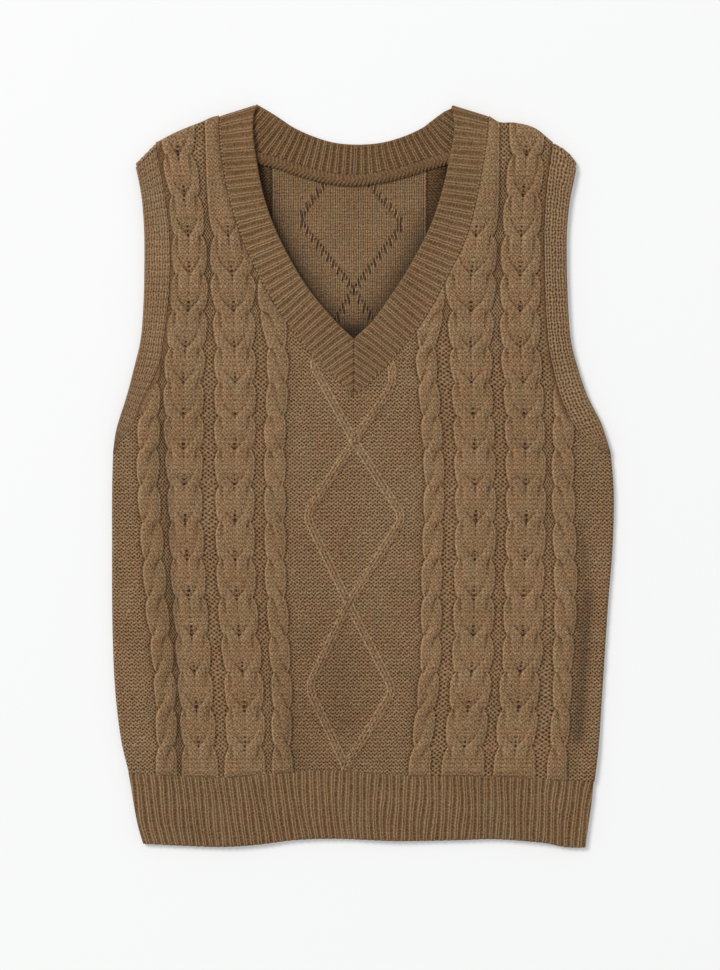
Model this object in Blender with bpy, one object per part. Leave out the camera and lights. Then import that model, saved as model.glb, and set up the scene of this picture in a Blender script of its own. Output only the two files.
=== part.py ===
# A knitted V-neck sweater vest, laid flat with its front up. Metres, +Z up, neck towards +Y.
# The front lies on the back. The ribbed neckband and armbands are strips that fold over at the
# shoulders, so half of each lies on top and half below. Every piece is a wall of cloth.
# Left and right are those of someone who looks at its front.

import bmesh
import bpy
import numpy as np

MM = 0.001

# Driving sizes, in millimetres. Widths are counted from the centre front and heights from the
# lowest point of the hem, on the laid vest.
WALL = 3.0  # thickness of the knitted cloth
SEAM_GAP = 0.3  # between two pieces at a seam, and between the two layers
EDGE_ROUND = 3.0  # how far in from a folded edge the cloth starts to turn over
EDGE_DROP = 0.75  # share of the wall that a folded edge has turned down by
HEM_DROP = 0.375  # the same for the hem's free edge
RIB_EDGE_ROUND = 1.5  # how far in from its free edge a band starts to round off
LOFT = 2.2  # how far the front stands off the back in its middle
LOFT_REACH = 34.0  # how far in from the outline the front reaches that height
LOFT_EDGE = 10.0  # how far in from a folded edge the folds and waves die out
V_POINT = 375.0  # height of the neckline seam at the centre front
BACK_NECK = 560.2  # height of the neckline seam at the centre back
UNDERARM = 329.0  # height of the lowest point of the armhole seam
HEM_TOP = 60.0  # height of the hem ribs
HEM_WAVE_LENGTH = 120.0
HEM_WAVE_RISE = 0.7
BODY_CENTRE = (0.0, 450.0)  # a point that every shoulder fold faces away from

# Steps of the walls' sections.
CURVE_STEPS = 12
FOLD_STEPS = 4
FRONT_COLUMNS = 13
BACK_COLUMNS = 11
UPPER_ROWS = 13
LOWER_ROW_HEIGHTS = (72.0, 88.0, 110.0, 140.0, 170.0, 200.0, 230.0, 258.0, 284.0, 308.0, 325.5)
UNDERARM_ROW_HEIGHTS = (UNDERARM, 340.0, 352.0, 363.0)
HEM_ROW_SHARES = (0.0, 0.35, 0.7, 0.95, 0.985, 1.0)
HEM_EASE_ROWS = 3  # rows over which a panel evens out the wave of the hem seam
SHOULDER_EASE_ROWS = 4  # rows over which the front takes up the curve of the shoulder
NECK_EASE_ROWS = 8  # rows over which the back takes up the curve of the neckline
EXTRA_ROW_SHARE = 0.6  # place of the added row in the last step to the shoulder edge
SHARP_EDGE = np.radians(50)

# Side edges: height, left edge, right edge.
SIDES = (
    (0.0, -175.2, 193.2),
    (20.0, -180.8, 195.8),
    (40.0, -184.5, 198.6),
    (HEM_TOP, -187.8, 200.6),
    (90.0, -194.5, 204.5),
    (130.0, -199.3, 207.3),
    (170.0, -201.3, 209.9),
    (210.0, -202.0, 212.6),
    (250.0, -202.0, 215.8),
    (295.0, -202.0, 216.9),
    (UNDERARM, -201.2, 214.4),
)

# The ribbed hem: width, height of its free edge, height of its seam to the panel.
HEM = (
    (-190.0, 4.0, 61.8),
    (-145.0, 1.7, 60.2),
    (-111.0, 0.6, 58.8),
    (-80.0, 2.5, 61.2),
    (-49.0, 6.3, 63.2),
    (-14.0, 7.4, 64.8),
    (37.0, 5.5, 60.6),
    (88.0, 6.3, 60.3),
    (118.0, 7.1, 60.0),
    (157.0, 4.2, 57.4),
    (178.0, 0.3, 56.0),
    (203.0, 0.3, 55.0),
)

# Armband sections from the underarm to the shoulder tip, where the band folds over:
# seam height, left seam, right seam, free edge height, left free edge, right free edge.
ARMBAND = (
    (UNDERARM, -199.0, 211.6, 333.0, -201.2, 214.0),
    (340.0, -194.5, 193.5, 345.0, -199.2, 209.6),
    (352.0, -184.5, 183.0, 357.0, -196.2, 205.0),
    (374.0, -175.5, 172.6, 378.0, -189.5, 194.4),
    (401.0, -162.5, 165.1, 403.0, -183.0, 186.0),
    (424.0, -158.2, 161.4, 425.0, -178.0, 180.8),
    (455.0, -154.3, 159.2, 455.0, -175.7, 178.6),
    (486.0, -152.6, 158.4, 486.0, -175.0, 177.6),
    (517.0, -153.5, 158.2, 515.0, -175.2, 177.8),
    (546.0, -157.5, 159.8, 540.0, -177.0, 180.2),
    (568.0, -161.5, 162.4, 556.0, -179.6, 183.4),
    (588.5, -165.2, 165.6, 570.5, -182.8, 186.2),
)

# Neckband sections at the front, from the V to the shoulder, where the band folds over:
# seam height, left seam, right seam, free edge height, left free edge, right free edge.
NECKBAND_FRONT = (
    (V_POINT, -0.15, 0.15, 424.7, -0.15, 0.15),
    (393.0, -16.6, 19.4, 430.0, -5.8, 5.6),
    (413.0, -38.0, 38.0, 440.0, -16.0, 15.9),
    (442.0, -59.2, 60.0, 464.0, -36.1, 33.0),
    (474.0, -78.4, 77.4, 488.0, -51.3, 48.0),
    (509.0, -94.1, 94.3, 518.0, -66.2, 63.2),
    (542.0, -104.5, 103.0, 546.0, -75.6, 72.8),
    (576.0, -110.8, 109.2, 578.0, -81.8, 80.2),
    (596.0, -112.6, 111.8, 600.0, -84.2, 83.6),
    (610.8, -113.0, 112.8, 619.7, -83.6, 82.0),
)

# Neckband sections round the back neck, between its two folds, left to right:
# seam x and height, free edge x and height.
NECKBAND_BACK = (
    (-103.0, 593.0, -76.0, 614.6),
    (-90.0, 583.0, -68.5, 610.0),
    (-76.0, 577.8, -60.0, 604.6),
    (-62.0, 574.2, -52.0, 600.0),
    (-42.0, 567.4, -36.7, 593.8),
    (-21.0, 562.2, -18.3, 588.4),
    (0.0, BACK_NECK, 1.0, 586.6),
    (22.0, 562.6, 22.0, 588.6),
    (43.0, 567.6, 41.0, 593.8),
    (62.0, 573.8, 56.0, 600.6),
    (76.0, 577.8, 64.0, 606.4),
    (90.0, 583.2, 69.5, 610.6),
    (103.0, 593.0, 75.5, 614.8),
)

# Shoulder edges from the armband to the neckband: left height and x, right height and x.
SHOULDERS = (
    (588.5, -165.2, 588.5, 165.6),
    (598.2, -146.5, 599.0, 149.0),
    (607.0, -127.0, 605.2, 132.0),
    (611.2, -113.0, 610.8, 112.8),
)

# The largest folds of the front: x and height of one end, x and height of the other,
# half width, and how far it rises, or sinks where that is below zero.
FOLDS = (
    (-160.0, 345.0, -147.5, 62.0, 9.0, -2.0),
    (-179.0, 330.0, -168.0, 80.0, 13.0, 0.9),
    (193.0, 250.0, 192.0, 62.0, 9.0, -1.7),
    (205.0, 330.0, 206.0, 200.0, 9.0, 0.8),
    (-8.0, 165.0, -7.0, 105.0, 22.0, -0.7),
    (-170.0, 84.0, 190.0, 78.0, 13.0, 0.8),
)

PANEL_COLOUR = (0.258, 0.153, 0.07)
RIB_COLOUR = (0.235, 0.143, 0.071)
KNIT_ROUGHNESS = 0.9


def curve(rows, steps=CURVE_STEPS):
    """Points of a smooth curve through the rows (a Catmull-Rom spline, in as many columns)."""
    p = np.array(rows, float)
    p = np.vstack([2 * p[0] - p[1], p, 2 * p[-1] - p[-2]])
    t = np.linspace(0, 1, steps, endpoint=False)[:, None]
    spans = [
        0.5
        * (
            2 * b
            + (c - a) * t
            + (2 * a - 5 * b + 4 * c - d) * t**2
            + (3 * b - 3 * c + d - a) * t**3
        )
        for a, b, c, d in zip(p, p[1:], p[2:], p[3:])
    ]
    return np.vstack([*spans, p[-2:-1]])


def unit(v):
    return v / np.linalg.norm(v, axis=-1, keepdims=True)


def beside(line, distance):
    """The line moved sideways: to its right for a positive distance."""
    along = unit(np.gradient(line, axis=0))
    return line + distance * np.stack([along[:, 1], -along[:, 0]], axis=1)


def distance_to_lines(points, lines):
    """How far each point is from the nearest of some lines."""
    near = np.full(len(points), np.inf)
    for line in lines:
        a, b = line[:-1], line[1:]
        ab = b - a
        t = ((points[:, None] - a) * ab).sum(2) / (ab * ab).sum(1)
        foot = a + np.clip(t, 0, 1)[:, :, None] * ab
        near = np.minimum(near, np.linalg.norm(points[:, None] - foot, axis=2).min(1))
    return near


def smooth_step(x):
    x = np.clip(x, 0, 1)
    return x * x * (3 - 2 * x)


def quarter_round(share):
    """The drop of a quarter circle, from 0 where the share is 0 to 1 where it is 1."""
    return 1 - np.sqrt(1 - np.clip(share, 0, 1) ** 2)


# ---- seam lines and edges, shared by the pieces on both sides of them

hem_curve = curve(HEM)


def hem_edge(x):
    return np.interp(x, hem_curve[:, 0], hem_curve[:, 1])


def hem_seam(x):
    return np.interp(x, hem_curve[:, 0], hem_curve[:, 2])


class Side:
    """One side of the vest: its edges and seam lines as points (x, height), going up."""

    def __init__(self, sign, place):
        """sign is -1 on the left and 1 on the right, place its number among the columns."""
        self.sign = sign
        edges = curve(SIDES)
        armband = curve(ARMBAND)
        neckband = curve(NECKBAND_FRONT)
        shoulder = curve(SHOULDERS)
        self.edge = edges[:, [1 + place, 0]]
        self.arm_seam = armband[:, [1 + place, 0]]
        self.arm_free = armband[:, [4 + place, 3]]
        self.neck_seam = neckband[:, [1 + place, 0]]
        self.neck_free = neckband[:, [4 + place, 3]]
        self.shoulder = shoulder[:, [1 + 2 * place, 2 * place]]

    def edge_x(self, height):
        return np.interp(height, self.edge[:, 1], self.edge[:, 0])

    def armband_sections(self):
        """Seam points and free edge points up to the fold, and the way the fold faces."""
        return band_sections(self.arm_seam, self.arm_free, UNDERARM_ROW_HEIGHTS)

    def neckband_sections(self):
        return band_sections(self.neck_seam, self.neck_free, ())


def band_sections(seam, free, first_heights):
    """Sections of a band at set heights of its seam. The last is its fold line, which lies
    inside the edge that the folded band makes by the fold's outer radius."""
    radius = WALL + SEAM_GAP / 2
    across = unit(free[-1] - seam[-1])
    outward = np.array([-across[1], across[0]])
    if outward @ (seam[-1] - BODY_CENTRE) < 0:
        outward = -outward
    fold = [line[-1] - outward * radius for line in (seam, free)]
    upper = np.linspace(V_POINT, fold[0][1], UPPER_ROWS)[:-1]
    step = np.arange(len(seam))
    at = np.interp(np.concatenate([first_heights, upper]), seam[:, 1], step)
    points = [np.stack([np.interp(at, step, line[:, i]) for i in (0, 1)], 1) for line in (seam, free)]
    return np.vstack([points[0], fold[0]]), np.vstack([points[1], fold[1]]), outward


LEFT = Side(-1, 0)
RIGHT = Side(1, 1)
BOTH = (LEFT, RIGHT)

low_hem = np.linspace(LEFT.edge_x(0), RIGHT.edge_x(0), len(hem_curve))
FOLDED_EDGES = [line for side in BOTH for line in (side.edge, side.shoulder)]
ALL_EDGES = [
    *FOLDED_EDGES,
    np.stack([low_hem, hem_edge(low_hem)], 1),
    *[side.arm_free for side in BOTH],
    *[np.stack([side.arm_seam[-1], side.arm_free[-1]]) for side in BOTH],
    *[np.stack([side.neck_seam[-1], side.neck_free[-1]]) for side in BOTH],
]


def loft(points):
    """How far the front layer stands off the back layer at each point: nothing at the
    outline, LOFT inside it, with the folds and the hem's wave added."""
    rise = LOFT * smooth_step(distance_to_lines(points, ALL_EDGES) / LOFT_REACH)
    for x0, y0, x1, y1, half_width, height in FOLDS:
        line = np.array([[x0, y0], [x1, y1]])
        spread = distance_to_lines(points, [line]) / half_width
        rise = rise + height * np.exp(-(spread**2))
    wave = np.sin(2 * np.pi * points[:, 0] / HEM_WAVE_LENGTH)
    rise = rise + HEM_WAVE_RISE * wave * smooth_step(1 - points[:, 1] / HEM_TOP)
    return np.maximum(rise, 0) * smooth_step(distance_to_lines(points, FOLDED_EDGES) / LOFT_EDGE)


def edge_drop(points):
    """How far the outer face has turned down near a folded edge or the hem's free edge."""
    from_fold = distance_to_lines(points, FOLDED_EDGES)
    from_hem = points[:, 1] - hem_edge(points[:, 0])
    return WALL * np.maximum(
        EDGE_DROP * quarter_round(1 - from_fold / EDGE_ROUND),
        HEM_DROP * quarter_round(1 - from_hem / EDGE_ROUND),
    )


def front_faces(points):
    """Lower and upper height of the front layer's wall."""
    low = WALL + SEAM_GAP + loft(points)
    return low, low + WALL - edge_drop(points)


def back_faces(points):
    """Lower and upper height of the back layer's wall, flat underneath."""
    return edge_drop(points), np.full(len(points), WALL)


# ---- closed solids: vertices and faces


def closed_wall(points, quads, faces_of):
    """A wall between the two height fields that faces_of gives, on one grid of quads."""
    low, high = faces_of(points)
    count = len(points)
    vertices = np.vstack([np.column_stack([points, high]), np.column_stack([points, low])])
    edges = np.vstack([quads[:, [i, (i + 1) % 4]] for i in range(4)])
    _, first, uses = np.unique(np.sort(edges, 1), axis=0, return_index=True, return_counts=True)
    rim = edges[first[uses == 1]]
    walls = np.column_stack([rim[:, 1], rim[:, 0], rim[:, 0] + count, rim[:, 1] + count])
    return vertices, np.vstack([quads, quads[:, ::-1] + count, walls]).tolist()


def folded_strip(runs):
    """A strip of cloth from runs of sections: seam and free edge points on its wrong side,
    and the way out to its right side. Its free edge is rounded."""
    seam, free, normal = (np.vstack([run[i] for run in runs]) for i in range(3))
    width = np.linalg.norm(free - seam, axis=1)[:, None]
    inset = free + (seam - free) * RIB_EDGE_ROUND / width
    right_side = normal * WALL
    rings = [seam, seam + right_side, inset + right_side, free + right_side / 2, inset]
    rings = np.stack(rings, axis=1)
    index = np.arange(rings[:, :, 0].size).reshape(rings.shape[:2])
    turned = np.roll(index, -1, axis=1)
    sides = np.stack([index[:-1], turned[:-1], turned[1:], index[1:]], axis=2)
    ends = [index[0, ::-1].tolist(), index[-1].tolist()]
    return rings.reshape(-1, 3), sides.reshape(-1, 4).tolist() + ends


# ---- panels and hems, on grids of rows from the side to the centre


def rows_between(outer, inner, columns):
    """Grid points of one half: each row runs from its outer to its inner point, with two
    columns close to the outer edge, where the cloth turns over."""
    width = np.linalg.norm(inner - outer, axis=1)[:, None]
    near = np.tile([0, EDGE_ROUND / 3, EDGE_ROUND], (len(outer), 1))
    even = np.linspace(0, 1, columns)[1:] * (width - EDGE_ROUND) + EDGE_ROUND
    share = np.hstack([near, even]) / width
    return outer[:, None] + (inner - outer)[:, None] * share[:, :, None]


def ease(rows, last, steps):
    """A weight for each row: 1 from the last ones on, fading to 0 over the steps before."""
    return np.clip(1 - (rows - last - np.arange(rows)) / steps, 0, 1)


def follow_hem(grid):
    """The grid with its first row laid just above the hem seam, the next ones following."""
    shift = hem_seam(grid[0, :, 0]) + SEAM_GAP / 2 - grid[0, :, 1]
    bent = grid.copy()
    bent[:, :, 1] += ease(len(grid), 1, HEM_EASE_ROWS)[::-1, None] * shift
    return bent


def outer_line(side):
    """The outer edge of a panel's half: its side, its armhole seam, its shoulder's end."""
    heights = np.array([HEM_TOP, *LOWER_ROW_HEIGHTS])
    edge = np.stack([side.edge_x(heights), heights], 1)
    armhole = np.vstack([side.armband_sections()[0], side.shoulder[0]])
    return with_extra_row(np.vstack([edge, beside(armhole, -side.sign * SEAM_GAP)]))


def with_extra_row(line):
    """The line with one more point before its last one, for the turned shoulder edge."""
    extra = line[-2] + EXTRA_ROW_SHARE * (line[-1] - line[-2])
    return np.vstack([line[:-1], extra, line[-1]])


def front_half(side):
    """One half of the front: the side and armhole on one edge, the centre and neck on the
    other, and the shoulder on top, which bulges above the straight rows."""
    heights = np.array([HEM_TOP, *LOWER_ROW_HEIGHTS, *UNDERARM_ROW_HEIGHTS])
    centre = np.stack([np.zeros(len(heights)), heights], 1)
    neck = np.vstack([side.neckband_sections()[0], side.shoulder[-1]])
    neck = beside(neck, side.sign * SEAM_GAP)
    neck[0] = [0.0, V_POINT - 1.5 * SEAM_GAP]
    inner = with_extra_row(np.vstack([centre, neck]))
    grid = follow_hem(rows_between(outer_line(side), inner, FRONT_COLUMNS))
    span = np.abs(grid[-1, :, 0])
    straight = np.interp(-span, -span[[0, -1]], grid[-1, [0, -1], 1])
    curved = np.interp(-span, -np.abs(side.shoulder[:, 0]), side.shoulder[:, 1])
    grid[:, :, 1] += ease(len(grid), 3, SHOULDER_EASE_ROWS)[:, None] * (curved - straight)
    return grid


def back_half(side):
    """One half of the back, whose top row is the shoulder and then the back neckline."""
    outer = outer_line(side)
    rise = (outer[:, 1] - HEM_TOP) / (outer[-1, 1] - HEM_TOP)
    centre_heights = HEM_TOP + rise * (BACK_NECK - SEAM_GAP - HEM_TOP)
    inner = np.stack([np.zeros(len(outer)), centre_heights], 1)
    grid = follow_hem(rows_between(outer, inner, BACK_COLUMNS))

    steps = np.linalg.norm(np.diff(side.shoulder, axis=0), axis=1)
    length = np.append(0, np.cumsum(steps))
    marks = [0, EDGE_ROUND / 3, EDGE_ROUND, length[-1] / 2]
    shoulder = np.stack([np.interp(marks, length, side.shoulder[:, i]) for i in (0, 1)], 1)
    shoulder += outer[-1] - shoulder[0]

    band = np.array(NECKBAND_BACK)[:, :2]
    band = band[band[:, 0] * side.sign >= 0]
    band = band[np.argsort(-np.abs(band[:, 0]))]
    fold = side.neckband_sections()[0][-1]
    neck = beside(np.vstack([side.shoulder[-1], fold, band]), -side.sign * SEAM_GAP)
    neck[-1] = [0.0, BACK_NECK - SEAM_GAP]

    top = np.vstack([shoulder, neck])
    return grid + ease(len(grid), 1, NECK_EASE_ROWS)[:, None, None] ** 2 * (top - grid[-1])


def join_halves(left, right, shared_rows):
    """Points and quads of two half grids that share the centre points of their first rows."""
    left_index = np.arange(left[:, :, 0].size).reshape(left.shape[:2])
    right_index = left_index + left_index.size
    right_index[:shared_rows, -1] = left_index[:shared_rows, -1]
    points = np.vstack([left.reshape(-1, 2), right.reshape(-1, 2)])
    quads = np.vstack([grid_quads(left_index), grid_quads(right_index[:, ::-1])])
    used, quads = np.unique(quads, return_inverse=True)
    return points[used], quads.reshape(-1, 4)


def grid_quads(index):
    """Quads of a grid of point numbers, facing up where rows go up and columns right."""
    corners = [index[:-1, :-1], index[:-1, 1:], index[1:, 1:], index[1:, :-1]]
    return np.stack(corners, 2).reshape(-1, 4)


def panel(halves, shared_rows, faces_of):
    points, quads = join_halves(*halves, shared_rows)
    return closed_wall(points, quads, faces_of)


def hem(halves, faces_of):
    """A hem: rows from just below its panel's first row down to the free edge."""
    top = np.vstack([halves[0][0], halves[1][0][-2::-1]]) - [0.0, SEAM_GAP]
    share = (top[:, 0] - top[0, 0]) / (top[-1, 0] - top[0, 0])
    low_x = LEFT.edge_x(0) + share * (RIGHT.edge_x(0) - LEFT.edge_x(0))
    low = np.stack([low_x, hem_edge(low_x)], 1)
    grid = top + np.array(HEM_ROW_SHARES)[::-1, None, None] * (low - top)
    grid[:, 0, 0] = LEFT.edge_x(grid[:, 0, 1])
    grid[:, -1, 0] = RIGHT.edge_x(grid[:, -1, 1])
    quads = grid_quads(np.arange(grid[:, :, 0].size).reshape(grid.shape[:2]))
    return closed_wall(grid.reshape(-1, 2), quads, faces_of)


# ---- bands, as strips folded over at the shoulders


def flat_run(seam, free, in_front):
    """Sections of a strip that lies in one layer: points on its wrong side, and its normal."""
    points = []
    for line in (seam, free):
        height = WALL + SEAM_GAP + loft(line) if in_front else np.full(len(line), WALL)
        points.append(np.column_stack([line, height]))
    normal = np.tile([0.0, 0.0, 1.0 if in_front else -1.0], (len(seam), 1))
    return points[0], points[1], normal


def folded_run(seam, free, outward):
    """Sections of a strip as it turns over its fold line, from the front to the back."""
    angles = np.linspace(0, np.pi, FOLD_STEPS + 2)[1:-1]
    way = np.column_stack([np.outer(np.sin(angles), outward), np.cos(angles)])
    axis_height = WALL + SEAM_GAP / 2
    points = [np.append(point, axis_height) + way * SEAM_GAP / 2 for point in (seam, free)]
    return points[0], points[1], way


def reverse(runs):
    return [tuple(part[::-1] for part in run) for run in runs[::-1]]


def armband(side):
    """An armband: up the front of the armhole, over the shoulder tip and down its back."""
    seam, free, outward = side.armband_sections()
    over = [flat_run(seam, free, True), folded_run(seam[-1], free[-1], outward)]
    return folded_strip(over + reverse([flat_run(seam, free, False)]))


def neckband():
    """The neckband: up one side of the V, round the back neck and down to the V again."""
    arms = []
    for side in BOTH:
        seam, free, outward = side.neckband_sections()
        over = [flat_run(seam, free, True), folded_run(seam[-1], free[-1], outward)]
        arms.append(over + [flat_run(seam[-1:], free[-1:], False)])
    band = np.array(NECKBAND_BACK)
    middle = flat_run(band[:, :2], band[:, 2:], False)
    return folded_strip(arms[0] + [middle] + reverse(arms[1]))


# ---- objects


def material(name, colour):
    made = bpy.data.materials.new(name)
    made.use_nodes = True
    shader = made.node_tree.nodes["Principled BSDF"]
    shader.inputs["Base Color"].default_value = (*colour, 1.0)
    shader.inputs["Roughness"].default_value = KNIT_ROUGHNESS
    shader.inputs["Metallic"].default_value = 0.0
    return made


def add_object(name, vertices, faces, colour):
    mesh = bpy.data.meshes.new(name)
    mesh.from_pydata((vertices * MM).tolist(), [], faces)
    shape = bmesh.new()
    shape.from_mesh(mesh)
    bmesh.ops.recalc_face_normals(shape, faces=shape.faces)
    shape.to_mesh(mesh)
    shape.free()
    mesh.materials.append(material(name, colour))
    mesh.shade_smooth()
    mesh.set_sharp_from_angle(angle=SHARP_EDGE)
    bpy.context.scene.collection.objects.link(bpy.data.objects.new(name, mesh))


def build():
    for old in list(bpy.data.objects):
        bpy.data.objects.remove(old, do_unlink=True)

    front = [front_half(side) for side in BOTH]
    back = [back_half(side) for side in BOTH]
    rows_below_neck = len(LOWER_ROW_HEIGHTS) + len(UNDERARM_ROW_HEIGHTS) + 2
    panels = {
        "front_panel": panel(front, rows_below_neck, front_faces),
        "back_panel": panel(back, len(back[0]), back_faces),
    }
    ribs = {
        "hem_front": hem(front, front_faces),
        "hem_back": hem(back, back_faces),
        "neckband": neckband(),
        "armband_left": armband(LEFT),
        "armband_right": armband(RIGHT),
    }

    every = np.vstack([vertices for vertices, _ in [*panels.values(), *ribs.values()]])
    low, high = every.min(0), every.max(0)
    origin = np.array([(low[0] + high[0]) / 2, (low[1] + high[1]) / 2, low[2]])
    for pieces, colour in ((panels, PANEL_COLOUR), (ribs, RIB_COLOUR)):
        for name, (vertices, faces) in pieces.items():
            add_object(name, vertices - origin, faces, colour)


build()
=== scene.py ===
import math

import bpy
import numpy as np
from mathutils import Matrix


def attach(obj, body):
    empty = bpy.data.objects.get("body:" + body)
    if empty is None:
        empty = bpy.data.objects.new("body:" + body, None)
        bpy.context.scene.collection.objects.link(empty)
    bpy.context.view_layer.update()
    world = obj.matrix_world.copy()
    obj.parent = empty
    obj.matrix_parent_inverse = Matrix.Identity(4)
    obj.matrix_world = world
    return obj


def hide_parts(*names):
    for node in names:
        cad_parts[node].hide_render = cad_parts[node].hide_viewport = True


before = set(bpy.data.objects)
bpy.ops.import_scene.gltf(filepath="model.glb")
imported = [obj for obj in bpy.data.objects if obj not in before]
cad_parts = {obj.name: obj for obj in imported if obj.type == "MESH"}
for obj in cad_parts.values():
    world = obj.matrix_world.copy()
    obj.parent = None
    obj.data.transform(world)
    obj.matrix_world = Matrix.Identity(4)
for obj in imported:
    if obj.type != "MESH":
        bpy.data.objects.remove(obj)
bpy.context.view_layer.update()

# Shapes are worked out in millimetres, x from the centre front to the right of someone who
# looks at it and y up from the hem's lowest point, then moved into the frame.
mm = 0.001
originShift = np.array([7.4327, 309.597, 0.0])
wall = 3.0
layerGap = 0.3
pointOfV = 375.0
backNeck = 560.2
underarm = 329.0
hemTop = 60.0
courseHeight = 3.1
waleWidth = 3.75
seamLevel = -0.3  # of a panel's edge at a seam against the solid's face
seamSlit = -0.25  # the gap at a seam: the ribs reach under the panel's edge
lowest = 0.02  # of the back above the surface
panelPoint = pointOfV - 0.45  # height at which the front panel's halves part

# ---- the outline: the same seams and edges as the solids

sideTable = [
    (0, -175.2, 193.2), (20, -180.8, 195.8), (40, -184.5, 198.6), (60, -187.8, 200.6),
    (90, -194.5, 204.5), (130, -199.3, 207.3), (170, -201.3, 209.9), (210, -202, 212.6),
    (250, -202, 215.8), (295, -202, 216.9), (329, -201.2, 214.4),
]
hemTable = [
    (-190, 4, 61.8), (-145, 1.7, 60.2), (-111, 0.6, 58.8), (-80, 2.5, 61.2), (-49, 6.3, 63.2),
    (-14, 7.4, 64.8), (37, 5.5, 60.6), (88, 6.3, 60.3), (118, 7.1, 60), (157, 4.2, 57.4),
    (178, 0.3, 56), (203, 0.3, 55),
]
armbandTable = [
    (329, -199, 211.6, 329.3, -201.2, 214.4), (340, -194.5, 193.5, 345, -199.2, 209.6),
    (352, -184.5, 183, 357, -196.2, 205), (374, -175.5, 172.6, 378, -189.5, 194.4),
    (401, -162.5, 165.1, 403, -183, 186), (424, -158.2, 161.4, 425, -178, 180.8),
    (455, -154.3, 159.2, 455, -175.7, 178.6), (486, -152.6, 158.4, 486, -175, 177.6),
    (517, -153.5, 158.2, 515, -175.2, 177.8), (546, -157.5, 159.8, 540, -177, 180.2),
    (568, -161.5, 162.4, 556, -179.6, 183.4), (588.5, -165.2, 165.6, 570.5, -182.8, 186.2),
]
neckbandTable = [
    (375, -0.15, 0.15, 424.7, -0.15, 0.15), (393, -16.6, 19.4, 430, -5.8, 5.6),
    (413, -38, 38, 440, -16, 15.9), (442, -59.2, 60, 464, -36.1, 33),
    (474, -78.4, 77.4, 488, -51.3, 48), (509, -94.1, 94.3, 518, -66.2, 63.2),
    (542, -104.5, 103, 546, -75.6, 72.8), (576, -110.8, 109.2, 578, -81.8, 80.2),
    (596, -112.6, 111.8, 600, -84.2, 83.6), (610.8, -113, 112.8, 620.3, -82.4, 82),
]
backNeckTable = [
    (-103, 593, -81.4, 620.9), (-90, 583, -68.2, 613.2), (-76, 577.8, -58.5, 606.8),
    (-62, 574.2, -51, 601.8), (-42, 567.4, -36.5, 595), (-21, 562.2, -18.3, 589.2),
    (0, 560.2, 1, 587.2), (22, 562.6, 22, 588.6), (43, 567.6, 41, 593.8),
    (62, 573.8, 56, 600.6), (76, 577.8, 64, 606.4), (90, 583.2, 69.5, 610.6),
    (103, 593, 75.5, 614.8),
]
shoulderTable = [
    (588.5, -165.2, 588.9, 165.6), (598.2, -146.5, 600.6, 151),
    (606, -127, 605.2, 134.5), (609.6, -119.5, 605.6, 122), (611.2, -113, 610.8, 112.8),
]
foldTable = [
    (-160, 345, -147.5, 62, 9, -2), (-179, 330, -168, 80, 13, 0.9), (200, 290, 190, 62, 9, -1.9),
    (205, 330, 206, 200, 9, 0.8), (-8, 165, -7, 105, 22, -0.7), (-170, 84, 190, 78, 13, 0.8),
]


# Catmull-Rom: each span blends the two rows beside it and the two beyond them as a cubic.
def curve(rows, steps=6):
    p = np.array(rows, float)
    p = np.vstack([2 * p[0] - p[1], p, 2 * p[-1] - p[-2]])
    t = np.linspace(0, 1, steps, endpoint=False)[:, None]
    spans = []
    for a, b, c, d in zip(p, p[1:], p[2:], p[3:]):
        cubic = 3 * b - 3 * c + d - a
        square = 2 * a - 5 * b + 4 * c - d
        spans.append(0.5 * (2 * b + (c - a) * t + square * t**2 + cubic * t**3))
    return np.vstack([*spans, p[-2:-1]])


def unit(v):
    return v / np.linalg.norm(v, axis=-1, keepdims=True)


# Smooth step: 3x2 - 2x3 of x held between 0 and 1.
def smooth(x):
    x = np.clip(x, 0, 1)
    return x * x * (3 - 2 * x)


# The drop of a quarter circle: one minus the root of one less the share squared.
def quarterRound(share):
    return 1 - np.sqrt(1 - np.clip(share, 0, 1) ** 2)


# The length along a line up to each of its points.
def lengths(line):
    return np.append(0, np.cumsum(np.linalg.norm(np.diff(line, axis=0), axis=1)))


# Each column of a table, read off at places between its rows' own places.
def readOff(table, places, at):
    return np.stack([np.interp(at, places, column) for column in table.T], 1)


# The line moved to its right by that distance.
def beside(line, distance):
    along = unit(np.gradient(line, axis=0))
    return line + distance * np.stack([along[:, 1], -along[:, 0]], axis=1)


# How far each point is from the nearest piece of the lines, and how far along its line that is.
def nearest(points, lines, chunk=6000):
    a = np.vstack([line[:-1] for line in lines])
    d = np.vstack([np.diff(line, axis=0) for line in lines])
    length = np.linalg.norm(d, axis=1)
    before = np.concatenate([lengths(line)[:-1] for line in lines])
    near = np.empty(len(points))
    along = np.empty(len(points))
    for start in range(0, len(points), chunk):
        part = slice(start, start + chunk)
        x = points[part, 0, None] - a[:, 0]
        y = points[part, 1, None] - a[:, 1]
        t = np.clip((x * d[:, 0] + y * d[:, 1]) / length**2, 0, 1)
        far = (x - t * d[:, 0]) ** 2 + (y - t * d[:, 1]) ** 2
        best = far.argmin(1)
        rows = np.arange(len(best))
        near[part] = np.sqrt(far[rows, best])
        along[part] = before[best] + t[rows, best] * length[best]
    return near, along


def makeSide(sign, place):
    edge = curve(sideTable)
    arm = curve(armbandTable)
    neck = curve(neckbandTable)
    shoulder = curve(shoulderTable)
    return {
        "sign": sign,
        "edge": edge[:, [1 + place, 0]],
        "armSeam": arm[:, [1 + place, 0]],
        "armFree": arm[:, [4 + place, 3]],
        "neckSeam": neck[:, [1 + place, 0]],
        "neckFree": neck[:, [4 + place, 3]],
        "shoulder": shoulder[:, [1 + 2 * place, 2 * place]],
    }


leftSide = makeSide(-1, 0)
rightSide = makeSide(1, 1)
bothSides = [leftSide, rightSide]
hemCurve = curve(hemTable)


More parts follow.
